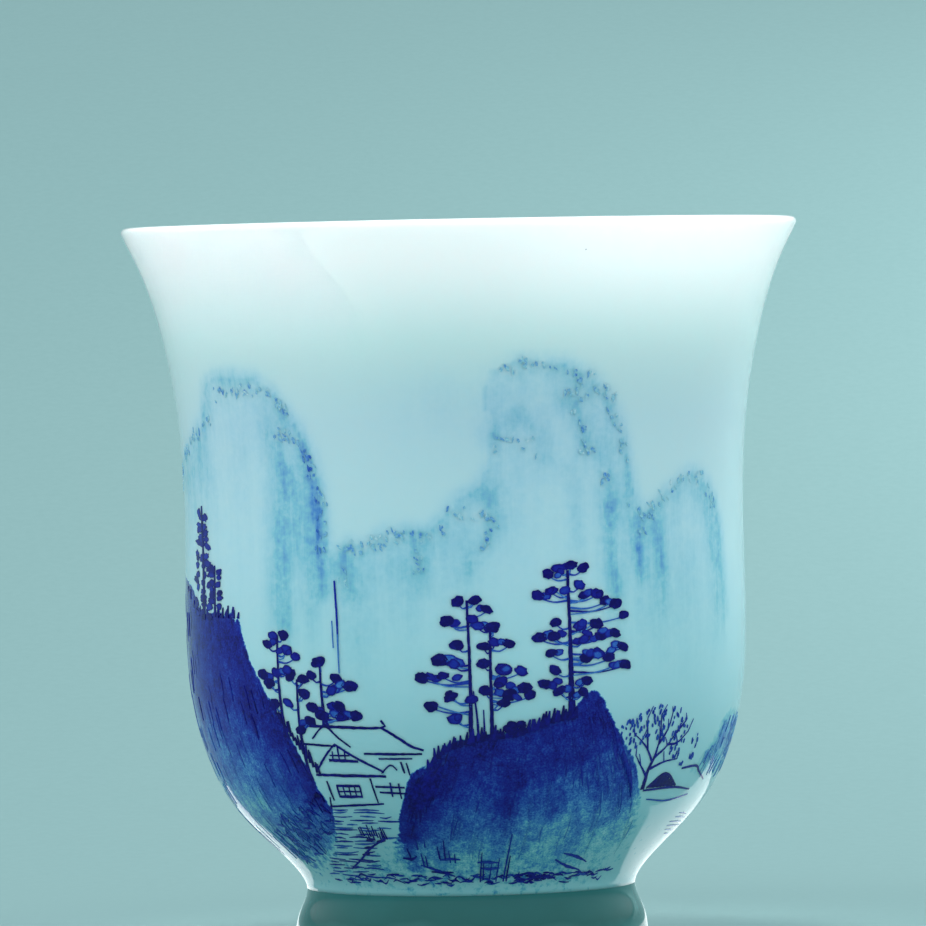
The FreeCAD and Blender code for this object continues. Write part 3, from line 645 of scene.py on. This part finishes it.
def paint_hill(ink):
    slope_strokes(ink, 44, HILL_WASH, [(20, 25), (26, 26.5), (31, 24)], [(26, 7), (40, 8), (51, 9)],
                  (0.1, 0.24))
    slope_strokes(ink, 34, HILL_WASH, [(-4, 22), (8, 23), (20, 25)], [(-20, 9), (0, 8), (26, 8)],
                  (0.12, 0.26))
    for _ in range(70):
        t = random.random()
        start = (-5.5 - 5.5 * t + uniform(-0.8, 0.8), 19.6 - 2.4 * t + uniform(-0.7, 0.7))
        end = (start[0] - uniform(1.6, 4.2), start[1] - uniform(1.6, 3.4))
        if lies_inside(NEAR_HILL, [start, end]):
            ink.stroke([start, end], [0.12, 0.3, 0.08], uniform(0.84, 0.94), 0.4, 0.3)
    for k in range(11):
        start = (31 + k * 0.66, 23.0 - k * 0.45)
        ink.stroke([start, (start[0] + 1.6, start[1] - 1.5), (start[0] + 2.6, start[1] - 2.9)],
                   [0.08, 0.16, 0.06], uniform(0.64, 0.78), 0.4, 0.3)


def cliff_strokes(ink, low, high, count):
    """The strokes down the cliff's face, from low to high degrees."""
    for _ in range(count):
        degrees = uniform(low, high)
        z = uniform(10, 36)
        lean = np.interp(degrees, [-140, -100, -60, -36], [-1.2, 0.1, 0.35, 0.9])
        run = [(degrees, z), (degrees + lean, z - 1.1), (degrees + lean * 2.1, z - 2.3)]
        local_stroke(ink, run, CLIFF_WASH, (0.12, 0.3), (-0.07, 0.07))


def paint_left_cliff(ink):
    cliff_strokes(ink, -98, -35, 130)
    for _ in range(90):
        degrees = uniform(-64, -36)
        z = np.interp(degrees, [-64, -50, -36], [9.6, 11.4, 14]) + uniform(-1, 3)
        run = [(degrees, z), (degrees + uniform(0.3, 1.6), z + uniform(-0.5, 0.9)),
               (degrees + uniform(1.6, 3), z + uniform(-0.9, 0.4))]
        local_stroke(ink, run, CLIFF_WASH, (0.12, 0.24), (0.08, 0.24))
    for degrees, z in ((-58.6, 34.3), (-56.6, 34.5), (-54.4, 34.1), (-52.8, 33.9), (-60.6, 34.3)):
        ink.stroke([(degrees, 33.3), (degrees + 0.3, z)], [0.4, 0.12], 0.95)


def paint_back_cliff(ink):
    cliff_strokes(ink, -140, -98, 160)
    for k in range(12):
        degrees = -118 + k * 2.1
        z = float(np.interp(degrees, [-122, -114, -106, -98], [28.4, 31, 34.8, 36.4]))
        ink.stroke([(degrees, z - 0.3), (degrees + 0.3, z + uniform(0.5, 1.2))], [0.35, 0.1], 0.93)
    pine(ink, (-110, 32.2), (-110.4, 41.6), 0.4,
         [(-111.6, 41.6, 0.9, 0.95), (-108.6, 40.8, 0.8, 0.93), (-113, 39.4, 1, 0.97),
          (-107.4, 38.6, 1, 0.95), (-112.6, 37, 0.9, 0.93), (-107.8, 36, 0.9, 0.95)])


def paint_ripples(ink):
    for i in range(21):
        z = 15.0 - 0.36 * i
        left = np.interp(z, [8, 9.6, 11.5, 15], [-52, -47, -39, -34])
        right = np.interp(z, [8, 11.5, 15], [-36, -25, -20])
        x = left + uniform(-1, 1)
        while x < right:
            run = uniform(3, 9)
            level = z + uniform(-0.1, 0.1)
            ink.stroke([(x, level), (x + run * 0.5, level + uniform(-0.08, 0.08)),
                        (x + run, level + uniform(-0.12, 0.12))],
                       [0.06, uniform(0.12, 0.2), 0.05], uniform(0.45, 0.8), 0.4, 0.25)
            x += run + uniform(0.4, 2.4)
    for k in range(12):
        foot = (-29 + k * 0.62, 12.0 + uniform(-0.3, 0.5))
        ink.stroke(blade(foot, (-0.3, 0.3), (0.5, 1.4)), [0.2, 0.1], 0.9)
    for x, z in ((-28.5, 11.9), (-25.5, 11.8), (-30.5, 11.1), (-32.5, 10.4)):
        ink.stroke([(x, z), (x + 2.6, z + 0.1)], [0.12, 0.26, 0.1], 0.92)
    ink.stroke([(-22, 12.2), (-28, 11.2), (-34, 9.9), (-40, 8.9)], [0.14, 0.2, 0.12], 0.8)


def paint_shoreline(ink):
    for k in range(84):
        degrees = -46 + k * 1.14 + uniform(-0.5, 0.5)
        z = 7.8 + uniform(-0.45, 0.6)
        ink.stroke([(degrees, z), (degrees + 1.5, z + uniform(-0.25, 0.25)),
                    (degrees + uniform(2.2, 4.5), z + uniform(-0.2, 0.2))],
                   [0.06, uniform(0.12, 0.26), 0.06], uniform(0.55, 0.86), 0.4, 0.3)
    for run in ([(-20, 10.1), (-17, 10), (-15.6, 10.3)], [(-15.2, 9.4), (-11, 8.9), (-5, 8.2)],
                [(-12.4, 8.7), (-8, 8.6), (-5.4, 8.6)], [(-9, 9.9), (-6, 10), (-3, 9.9)],
                [(2, 9.6), (5, 9.6), (8.6, 9.5)], [(3.2, 9), (6, 8.9), (8.8, 9)],
                [(26, 9.6), (31, 8.9), (37, 8.4)], [(28, 10.2), (33, 9.8), (38, 9.2)]):
        ink.stroke(run, [0.1, 0.28, 0.08], uniform(0.62, 0.86), 0.4, 0.25)
    for x, z, tall in ((-14.2, 9.2, 1.4), (-13.2, 9.3, 1), (-12.4, 11.2, 0.7), (-8.9, 10, 1.3),
                       (-7.4, 9.9, 2), (-6, 9.6, 1.2), (-4.6, 9.6, 0.9), (3, 7.6, 3),
                       (3.9, 7.8, 1.8), (8.2, 7.6, 2.4), (10.6, 7.6, 4.8), (11.6, 7.6, 2.6),
                       (6, 7.8, 1.6), (-17.5, 10.2, 0.9), (15.4, 7.5, 1), (-14.6, 11, 1)):
        ink.stroke([(x, z), (x + uniform(-0.3, 0.3), z + tall)], [0.22, 0.2, 0.1],
                   uniform(0.6, 0.88), 0.4, 0.25)
    for _ in range(30):
        x, z = uniform(14, 27), uniform(7.5, 8.3)
        ink.stroke([(x, z), (x + uniform(1.5, 3), z + uniform(-0.15, 0.15))],
                   [0.08, 0.22, 0.08], uniform(0.7, 0.92), 0.4, 0.3)


# Fine marks along the far skylines: each piece's name, its CAD node, and its groups of marks,
# each (line, how many, spread in mm, darkness)
FAR_DOTS = [
    ("far_left_brushwork", "far_peak_left", [
        ([(-57, 55.3), (-50, 55), (-44, 55.2), (-41, 54.9)], 46, 0.55, 0.62),
        ([(-41, 54.8), (-38.5, 53.7), (-37, 53)], 18, 0.4, 0.6),
        ([(-41, 50.6), (-36, 50.6), (-33, 49.4)], 22, 0.35, 0.62),
        ([(-33, 49.4), (-31.5, 47), (-30, 44.6), (-29.4, 42)], 30, 0.4, 0.56),
        ([(-79, 48.9), (-70, 50.6), (-60, 52.2)], 40, 0.6, 0.42),
        ([(-30, 41.5), (-29.5, 38.6)], 12, 0.4, 0.46)]),
    ("far_middle_brushwork", "far_ridge_middle", [
        ([(-28, 39.2), (-24, 40.2), (-20, 40), (-14, 41.4), (-8, 41.2), (-3, 42.6), (1, 43.6)],
         66, 0.7, 0.44),
        ([(-24.5, 38), (-23.6, 36.6)], 8, 0.5, 0.44), ([(-9.2, 39.6), (-8.8, 37.4)], 10, 0.4, 0.4)]),
    ("far_centre_brushwork", "far_peak_centre", [
        ([(6, 56.6), (12, 57.1), (18, 56.7), (24, 55.9), (29, 54.6)], 46, 0.5, 0.4),
        ([(20, 54.3), (24, 54.4), (30, 54.3)], 20, 0.5, 0.48),
        ([(7, 50.4), (11, 49.6), (15, 48.8)], 18, 0.8, 0.42),
        ([(24.6, 49.2), (27.4, 48.8)], 10, 0.5, 0.5), ([(29, 46.2), (30.4, 46.1)], 6, 0.3, 0.54),
        ([(30, 52.6), (33, 49.8), (35, 46.4)], 18, 0.5, 0.38),
        ([(22, 52.8), (24.6, 50.6)], 10, 0.35, 0.44), ([(2, 43.5), (5.4, 42), (4, 39.8)], 22, 0.5, 0.42)]),
    ("far_right_brushwork", "far_peak_right", [
        ([(40.5, 42.8), (45, 44.3), (50, 45.8), (55, 46.1), (60, 44.4), (62.6, 42.6)], 52, 0.45, 0.42),
        ([(38, 41.2), (38.8, 40.8)], 7, 0.25, 0.62), ([(35, 43), (41, 42.4)], 14, 0.6, 0.42)]),
    ("far_back_brushwork", "far_slope_back", [
        ([(-148, 34.6), (-131, 36.9), (-120, 39.3), (-100, 43.4), (-84, 47.4)], 90, 0.6, 0.42)])]


# The share of the marks above that are painted
SPARSENESS = 0.7


def paint_far_dots(ink, groups):
    """The small marks of trees along a far skyline."""
    for line, count, spread, dark in groups:
        path = smooth_path(line, 0.5)
        for _ in range(int(count * SPARSENESS)):
            at = path[random.randrange(len(path))]
            aside, above = random.gauss(0, spread) / MM_PER_DEGREE * 0.8, random.gauss(0, spread * 0.7)
            degrees, z = at[0] + aside, at[1] + above
            wash = far_density(np.array([degrees * MM_PER_DEGREE]), np.array([z]))[0][0]
            tone = 0.66 * float(wash) + max(0.04, random.gauss(0.22 * dark, 0.04) - 0.05 * abs(above))
            ink.dab((degrees, z), uniform(0.08, 0.18), uniform(0.14, 0.36),
                    uniform(-20, 60), tone, tone - 0.03, 0.3)


def paint_far_shore(ink, low, high):
    """Close strokes over a low wooded shore."""
    for _ in range(120):
        degrees = uniform(low, high)
        crest = float(np.interp(degrees, [60, 66, 70, 75, 84, 100, 112, 120, 132, 150],
                                [18, 20.2, 22.2, 22.9, 22, 20.8, 23, 23.4, 21.4, 18.6]))
        z = uniform(16.6, crest - 1)
        ink.stroke([(degrees, z), (degrees + uniform(0.4, 1.1), z + uniform(0.4, 1.1)),
                    (degrees + uniform(1.2, 2.2), z + uniform(0.9, 1.7))],
                   [0.08, uniform(0.14, 0.3), 0.06], uniform(0.24, 0.46), 0.4, 0.3)


# ---------------------------------------------------------------- materials

class Nodes:
    """A small shorthand for building one material's node tree."""

    def __init__(self, name):
        self.material = bpy.data.materials.new(name)
        self.material.use_nodes = True
        self.tree = self.material.node_tree
        self.tree.nodes.clear()
        self.out = self.tree.nodes.new("ShaderNodeOutputMaterial")
        self.shader = self.add("ShaderNodeBsdfPrincipled")
        self.tree.links.new(self.shader.outputs[0], self.out.inputs[0])
        self.place = self.add("ShaderNodeTexCoord").outputs["Object"]

    def add(self, kind, inputs=None, **settings):
        node = self.tree.nodes.new(kind)
        for key, value in settings.items():
            setattr(node, key, value)
        for key, value in (inputs or {}).items():
            self.set(node.inputs[key], value)
        return node

    def set(self, socket, value):
        if isinstance(value, bpy.types.NodeSocket):
            self.tree.links.new(value, socket)
        else:
            socket.default_value = value

    def set_shader(self, **inputs):
        for name, value in inputs.items():
            self.set(self.shader.inputs[name.replace("_", " ")], value)

    def math(self, operation, a, b):
        return self.add("ShaderNodeMath", {0: a, 1: b}, operation=operation).outputs[0]

    def height(self):
        return self.add("ShaderNodeSeparateXYZ", {"Vector": self.place}).outputs["Z"]

    def attribute(self, name):
        return self.add("ShaderNodeAttribute", attribute_name=name).outputs["Fac"]

    def scaled(self, vector, scale):
        return self.add("ShaderNodeVectorMath", {0: vector, 1: scale}, operation="MULTIPLY").outputs[0]

    def noise(self, vector, scale, detail=3.0, roughness=0.55):
        return self.add("ShaderNodeTexNoise", {"Vector": vector, "Scale": scale, "Detail": detail,
                                               "Roughness": roughness}).outputs["Fac"]

    def between(self, value, low, high, to_low=0.0, to_high=1.0):
        return self.add("ShaderNodeMapRange", {"Value": value, "From Min": low, "From Max": high,
                                               "To Min": to_low, "To Max": to_high}).outputs[0]

    def vary(self, noise, to_low=0.0, to_high=1.0):
        """Stretches the middle of a noise's range, where nearly all of it lies, to low..high."""
        return self.between(noise, 0.3, 0.7, to_low, to_high)

    def ramp(self, value, stops):
        node = self.add("ShaderNodeValToRGB", {"Fac": value})
        elements = node.color_ramp.elements
        while len(elements) < len(stops):
            elements.new(0.5)
        for element, (at, colour) in zip(elements, stops):
            element.position = at
            element.color = (*colour, 1.0)
        return node.outputs["Color"]

    def mix(self, amount, a, b, blend="MIX"):
        node = self.add("ShaderNodeMix", data_type="RGBA", blend_type=blend)
        self.set(node.inputs["Factor"], amount)
        self.set(node.inputs["A"], a)
        self.set(node.inputs["B"], b)
        return node.outputs["Result"]


# The glaze's colour by height in mm: thin and white at the lip, thicker and cooler lower down. This is
# also painted light: lighter towards the lip where light from above shines through the thin wall, darker
# and more teal lower down where less light falls
GLAZE_AND_PAINTED_LIGHT_BY_HEIGHT = [
    (6.5, (0.36, 0.68, 0.72)), (20, (0.44, 0.74, 0.79)), (30, (0.55, 0.82, 0.88)),
    (40, (0.66, 0.865, 0.95)), (52, (0.72, 0.865, 0.96)), (60, (0.81, 0.925, 0.97)),
    (66, (0.90, 0.965, 0.98)), (69.7, (0.97, 0.99, 0.99)), (HEIGHT, (0.985, 0.995, 0.995))]
# What cobalt lets through, from none to the densest
COBALT_BY_DENSITY = [
    (0.0, (1.0, 1.0, 1.0)), (0.14, (0.49, 0.785, 0.85)), (0.30, (0.18, 0.39, 0.78)),
    (0.48, (0.055, 0.15, 0.60)), (0.66, (0.022, 0.042, 0.46)), (0.84, (0.014, 0.008, 0.31)),
    (1.0, (0.007, 0.001, 0.13))]
# The foot's colour from its standing rim up to the waist: pooled teal glaze, painted dark as the shade
# under the bowl, paler near the standing rim
FOOT_GLAZE_AND_SHADE_BY_DEPTH = [(0.0, (0.10, 0.28, 0.28)), (0.5, (0.02, 0.135, 0.13)), (1.0, (0.03, 0.18, 0.18))]
# The glaze inside the bowl, painted darker and greyer than the outside as painted shade in the hollow
INSIDE_GLAZE_PAINTED_SHADE = (0.70, 0.75, 0.75, 1)
COOL_CAST = (0.84, 0.96, 0.96, 1)
SPECK = (0.16, 0.2, 0.3, 1)
BASE_GLAZE = [(0.66, 0.80, 0.80, 1), (0.76, 0.88, 0.88, 1)]
CLAY, CLAY_STAIN, CLAY_GRAIN = (0.80, 0.79, 0.74, 1), (0.66, 0.62, 0.54, 1), (0.5, 0.47, 0.42, 1)
PAPER = [(0.212, 0.352, 0.356, 1), (0.222, 0.366, 0.37, 1)]
GLAZE_ROUGHNESS = 0.06
GLAZE_IOR = 1.52
GLAZE_SPECULAR = 0.22


def glaze_surface(n, ripple=0.12):
    """The glaze's gloss, with the faint unevenness of a fired surface."""
    fine = n.math("MULTIPLY", n.noise(n.place, 420.0, 2.0), 0.25)
    swell = n.math("ADD", n.noise(n.place, 90.0, 2.0), fine)
    bump = n.add("ShaderNodeBump", {"Strength": ripple, "Distance": 0.0004, "Height": swell})
    patches = n.noise(n.place, 60.0, 2.0)
    n.set_shader(Normal=bump.outputs[0], IOR=GLAZE_IOR, Specular_IOR_Level=GLAZE_SPECULAR,
                 Roughness=n.vary(patches, GLAZE_ROUGHNESS * 0.7, GLAZE_ROUGHNESS * 1.5))


def stained(n, ink):
    """The glaze's colour, with its painted light and shade by height, where cobalt of this density lies
    under it.
    """
    stops = [(z / HEIGHT, colour) for z, colour in GLAZE_AND_PAINTED_LIGHT_BY_HEIGHT]
    # painted light: the colour grows lighter towards the lip and darker, more teal, lower down
    glaze = n.ramp(n.between(n.height(), 0.0, HEIGHT * MM), stops)
    return n.mix(1.0, glaze, n.ramp(ink, COBALT_BY_DENSITY), "MULTIPLY")


def glow_through(n, weight, scale):
    """Light that enters thin porcelain and comes out again nearby."""
    n.set_shader(Subsurface_Weight=weight, Subsurface_Radius=(1.1, 1.0, 1.0), Subsurface_Scale=scale)


def bowl_material():
    n = Nodes("glazed porcelain with cobalt washes")
    grain = n.noise(n.place, 5600.0, 2.0, 0.6)
    speckle = n.noise(n.place, 1500.0, 3.0, 0.6)
    cloud = n.noise(n.place, 330.0, 4.0, 0.6)
    tall = n.scaled(n.place, (1.0, 1.0, 0.09))
    drips = n.noise(tall, 620.0, 4.0, 0.65)
    fine_drips = n.noise(tall, 2300.0, 3.0, 0.6)

    # Thin cobalt of the far range: mottled, with vertical runs
    mottle = n.math("ADD", n.vary(speckle, 0.7, 1.3), n.vary(cloud, -0.3, 0.3))
    runs = n.math("ADD", n.vary(drips, 0.6, 1.4), n.vary(fine_drips, -0.15, 0.15))
    mottled = n.math("MULTIPLY", n.attribute("far"), mottle)
    far_ink = n.math("MULTIPLY", mottled, n.math("MULTIPLY", runs, 0.6))

    # The low far shore, a soft-edged wash
    shore = n.math("ADD", n.attribute("shore"), n.vary(speckle, -0.35, 0.35))
    shore_ink = n.math("MULTIPLY", n.between(shore, -0.5, 0.7), n.attribute("shore_fade"))
    shore_ink = n.math("MULTIPLY", shore_ink, n.vary(cloud, 0.05, 0.42))

    # Heavy cobalt of the near land, streaked down its slopes, with a crisp ragged edge
    flow = n.add("ShaderNodeCombineXYZ", {"X": n.attribute("fan"),
                                          "Y": n.math("MULTIPLY", n.height(), 140.0)}).outputs[0]
    streaks = n.noise(flow, 1.6, 4.0, 0.65)
    fine_streaks = n.noise(n.scaled(flow, (1.0, 1.6, 1.0)), 5.5, 3.0, 0.6)
    near_ink = n.attribute("tone")
    for noise, paler, darker in ((streaks, -0.07, 0.07), (cloud, -0.19, 0.05), (fine_streaks, -0.04, 0.04),
                                 (grain, -0.13, 0.13), (speckle, -0.09, 0.09)):
        near_ink = n.math("ADD", near_ink, n.vary(noise, paler, darker))
    edge = n.math("ADD", n.attribute("near"), n.vary(speckle, -0.16, 0.16))
    ink = n.mix(n.between(edge, -0.05, 0.12), n.math("MAXIMUM", far_ink, shore_ink), near_ink)

    # A cooler cast where the glaze is thicker, faint specks in it, and the glaze inside, painted darker
    # and greyer as shade in the hollow
    colour = n.mix(n.vary(n.noise(n.place, 36.0, 2.0), 0.0, 0.10), stained(n, ink), COOL_CAST, "MULTIPLY")
    cells = n.add("ShaderNodeTexVoronoi", {"Vector": n.place, "Scale": 120.0})
    speck = n.math("LESS_THAN", cells.outputs["Distance"], 0.012)
    colour = n.mix(n.math("MULTIPLY", speck, 0.55), colour, SPECK)
    # painted shade: inside the bowl the glaze takes the darker grey colour
    n.set_shader(Base_Color=n.mix(n.attribute("within"), colour, INSIDE_GLAZE_PAINTED_SHADE))
    glaze_surface(n)
    glow_through(n, 1.0, n.between(n.height(), 0.058, 0.0705, 0.0007, 0.0012))
    return n.material


def ink_material(name, grain_depth):
    """Cobalt drawn with a brush, under the same glaze."""
    n = Nodes(name)
    ink = n.attribute("ink")
    for scale, detail in ((3600.0, 2.0), (1100.0, 3.0)):
        ink = n.math("ADD", ink, n.vary(n.noise(n.place, scale, detail, 0.6), -grain_depth, grain_depth))
    n.set_shader(Base_Color=stained(n, ink))
    glaze_surface(n)
    return n.material


def foot_glaze_material():
    """Teal glaze painted dark as the shade under the bowl, paler where it thins towards the standing rim.
    """
    n = Nodes("pooled glaze and painted shade of the foot")
    pool = n.vary(n.noise(n.place, 120.0, 3.0), -0.12, 0.12)
    depth = n.math("ADD", n.between(n.height(), 0.0009, 0.0062), pool)
    # painted shade: the foot is coloured dark as if shaded by the bowl above it
    n.set_shader(Base_Color=n.ramp(depth, FOOT_GLAZE_AND_SHADE_BY_DEPTH))
    glaze_surface(n)
    return n.material


def base_glaze_material():
    n = Nodes("glaze under the cup")
    n.set_shader(Base_Color=n.mix(n.vary(n.noise(n.place, 90.0, 4.0)), *BASE_GLAZE))
    glaze_surface(n, 0.3)
    glow_through(n, 0.6, 0.001)
    return n.material


def clay_material():
    n = Nodes("bare fired porcelain")
    grain = n.noise(n.place, 2600.0, 4.0, 0.7)
    stain = n.between(n.noise(n.place, 160.0, 3.0), 0.35, 0.7, 0.0, 0.6)
    bump = n.add("ShaderNodeBump", {"Strength": 0.35, "Distance": 0.0001, "Height": grain})
    n.set_shader(Base_Color=n.mix(n.between(grain, 0.6, 0.75), n.mix(stain, CLAY, CLAY_STAIN), CLAY_GRAIN),
                 Roughness=n.vary(grain, 0.55, 0.8), Normal=bump.outputs[0])
    return n.material


def floor_material():
    n = Nodes("pale studio paper")
    n.set_shader(Base_Color=n.mix(n.vary(n.noise(n.place, 900.0, 3.0)), *PAPER), Roughness=0.7)
    return n.material


# ---------------------------------------------------------------- the cup, put together

random.seed(66)
bowl = make_bowl()
bowl.data.materials.append(bowl_material())
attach(bowl, "root")
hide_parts("porcelain_body", "outer_glaze", "inner_glaze")

LINES = ("line_cobalt", ink_material("cobalt lines under glaze", 0.05))
STROKES = ("cobalt", ink_material("cobalt strokes under glaze", 0.09))
DOTS = ("pale_cobalt", ink_material("thin cobalt dots under glaze", 0.1))


def brushwork(seed, name, node, hand, lift, paint, *args):
    """Paints one subject, lift mm proud of the wall, in the place of its CAD node."""
    random.seed(seed)
    ink = Ink(lift)
    paint(ink, *args)
    ink.finish(name, node, *hand)


for number, (name, node, groups) in enumerate(FAR_DOTS):
    brushwork(100 + number, name, node, DOTS, 0.012, paint_far_dots, groups)
brushwork(201, "far_shore_right_brushwork", "far_shore_right", DOTS, 0.012, paint_far_shore, 62, 100)
brushwork(202, "far_shore_back_brushwork", "far_shore_back", DOTS, 0.012, paint_far_shore, 101, 148)
brushwork(300, "hill_brushwork", "near_hill_centre", STROKES, 0.012, paint_hill)
brushwork(301, "left_cliff_brushwork", "near_cliff_left", STROKES, 0.012, paint_left_cliff)
brushwork(302, "back_cliff_brushwork", "near_cliff_back", STROKES, 0.012, paint_back_cliff)
brushwork(303, "cypress_brushwork", "cypress", LINES, 0.03, paint_cypress)
brushwork(304, "left_pines_brushwork", "pines_left", LINES, 0.03, paint_left_pines)
brushwork(305, "centre_pines_brushwork", "pines_centre", LINES, 0.03, paint_centre_pines)
brushwork(306, "right_pine_brushwork", "pine_right", LINES, 0.03, paint_right_pine)
brushwork(307, "cottage_brushwork", "cottage", LINES, 0.03, paint_cottage)
brushwork(308, "bare_tree_brushwork", "bare_tree", LINES, 0.03, paint_bare_tree)
brushwork(309, "boat_brushwork", "moored_boat", LINES, 0.034, paint_boat)
brushwork(310, "ripple_brushwork", "water_ripples", LINES, 0.02, paint_ripples)
brushwork(311, "shore_brushwork", "shoreline", LINES, 0.024, paint_shoreline)

for node, material in (("foot_ring", clay_material()), ("foot_glaze", foot_glaze_material()),
                       ("base_glaze", base_glaze_material())):
    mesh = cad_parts[node].data
    mesh.materials.clear()
    mesh.materials.append(material)


# ---------------------------------------------------------------- the studio

def make_floor():
    """A pale paper floor that rises in a low soft swell behind the cup, so no edge of it shows."""
    near_edge, far_edge, half_width = -3.0, 4.0, 3.0
    start, end, rise = 0.08, 0.66, 0.14
    profile = [(near_edge, 0.0)]
    for t in np.linspace(0, 1, 49):
        profile.append((start + (end - start) * t, rise * t * t * (3 - 2 * t)))
    profile.append((far_edge, rise))
    verts = [(side * half_width, y, z) for y, z in profile for side in (-1, 1)]
    faces = [(2 * i, 2 * i + 1, 2 * i + 3, 2 * i + 2) for i in range(len(profile) - 1)]
    floor = make_object("studio_sweep", verts, faces)
    floor.data.materials.append(floor_material())


def add_area(name, place, target, size, power, colour=(1.0, 1.0, 1.0), spread=180):
    """A softbox in metres, watts and degrees, which isn't itself mirrored in the glaze."""
    light = bpy.data.lights.new(name, "AREA")
    light.shape = "RECTANGLE"
    light.size, light.size_y = size
    light.energy = power
    light.color = colour
    light.spread = math.radians(spread)
    obj = bpy.data.objects.new(name, light)
    obj.location = place
    obj.visible_camera = False
    obj.visible_glossy = False
    obj.rotation_euler = (Vector(target) - Vector(place)).to_track_quat("-Z", "Y").to_euler()
    bpy.context.scene.collection.objects.link(obj)
    return obj


def add_floor_glow(name, x, y, turn, size, power):
    """A lit strip just over the floor, seen only where the belly's glaze mirrors it."""
    glow = add_area(name, (x, y, 0.0015), (x, y, 1.0), size, power)
    glow.rotation_euler = (math.pi, 0, math.radians(turn))
    glow.visible_glossy = True
    glow.visible_diffuse = False


def make_world():
    """A soft teal-white dome, dimmer near the horizon."""
    world = bpy.data.worlds.new("studio")
    world.use_nodes = True
    tree = world.node_tree
    background = tree.nodes["Background"]
    background.inputs["Color"].default_value = (0.72, 0.85, 0.87, 1)
    direction = tree.nodes.new("ShaderNodeTexCoord").outputs["Generated"]
    split = tree.nodes.new("ShaderNodeSeparateXYZ")
    tree.links.new(direction, split.inputs[0])
    rise = tree.nodes.new("ShaderNodeMapRange")
    rise.interpolation_type = "SMOOTHSTEP"
    for socket, value in (("From Min", 0.0), ("From Max", 0.32), ("To Min", 0.28), ("To Max", 1.12)):
        rise.inputs[socket].default_value = value
    tree.links.new(split.outputs["Z"], rise.inputs["Value"])
    tree.links.new(rise.outputs[0], background.inputs["Strength"])
    bpy.context.scene.world = world


make_floor()
middle = (0, 0, 0.04)
add_area("top_softbox", (0, 0, 0.25), middle, (0.04, 0.04), 0.012, (0.97, 0.96, 0.94), spread=27)
add_area("left_lip_fill", (-0.26, -0.25, 0.012), (-0.024, -0.02, 0.079), (0.06, 0.01), 0.0026, spread=8)
add_area("right_lip_fill", (0.26, -0.25, 0.012), (0.025, -0.02, 0.079), (0.06, 0.01), 0.0042, spread=8)
add_area("left_strip", (-0.75, -0.12, 0.36), middle, (0.05, 0.5), 0.75, (1.0, 0.97, 0.95))
add_area("right_softbox", (0.6, -0.05, 0.75), middle, (0.5, 0.5), 1.4)
add_area("front_softbox", (-0.2, -0.6, 0.9), middle, (0.7, 0.4), 1.6, (0.98, 1.0, 1.0))
add_area("backdrop_wash", (0.34, 0.36, 0.24), (0.08, 0.28, 0.0), (0.1, 0.1), 0.5, spread=110)
add_floor_glow("left_floor_glow", -0.0235, 0.0384, 31.4, (0.03, 0.06), 0.0068)
add_floor_glow("right_floor_glow", 0.0262, 0.0323, -31.4, (0.045, 0.06), 0.0106)
make_world()

# A long lens, nearly level with the lip and a little tilted
CAMERA_DISTANCE = 0.778
CAMERA_HEIGHT = 0.0620
CAMERA_PITCH = math.radians(1.07)
CAMERA_ROLL = math.radians(-1.108)
LENS_MM = 309.1
camera = bpy.data.cameras.new("camera")
camera.lens = LENS_MM
camera.sensor_width = 36.0
camera_object = bpy.data.objects.new("camera", camera)
camera_object.matrix_world = (Matrix.Translation((0, -CAMERA_DISTANCE, CAMERA_HEIGHT))
                              @ Matrix.Rotation(math.pi / 2 - CAMERA_PITCH, 4, "X")
                              @ Matrix.Rotation(CAMERA_ROLL, 4, "Z"))
bpy.context.scene.collection.objects.link(camera_object)
bpy.context.scene.camera = camera_object
bpy.context.scene.view_settings.view_transform = "Standard"
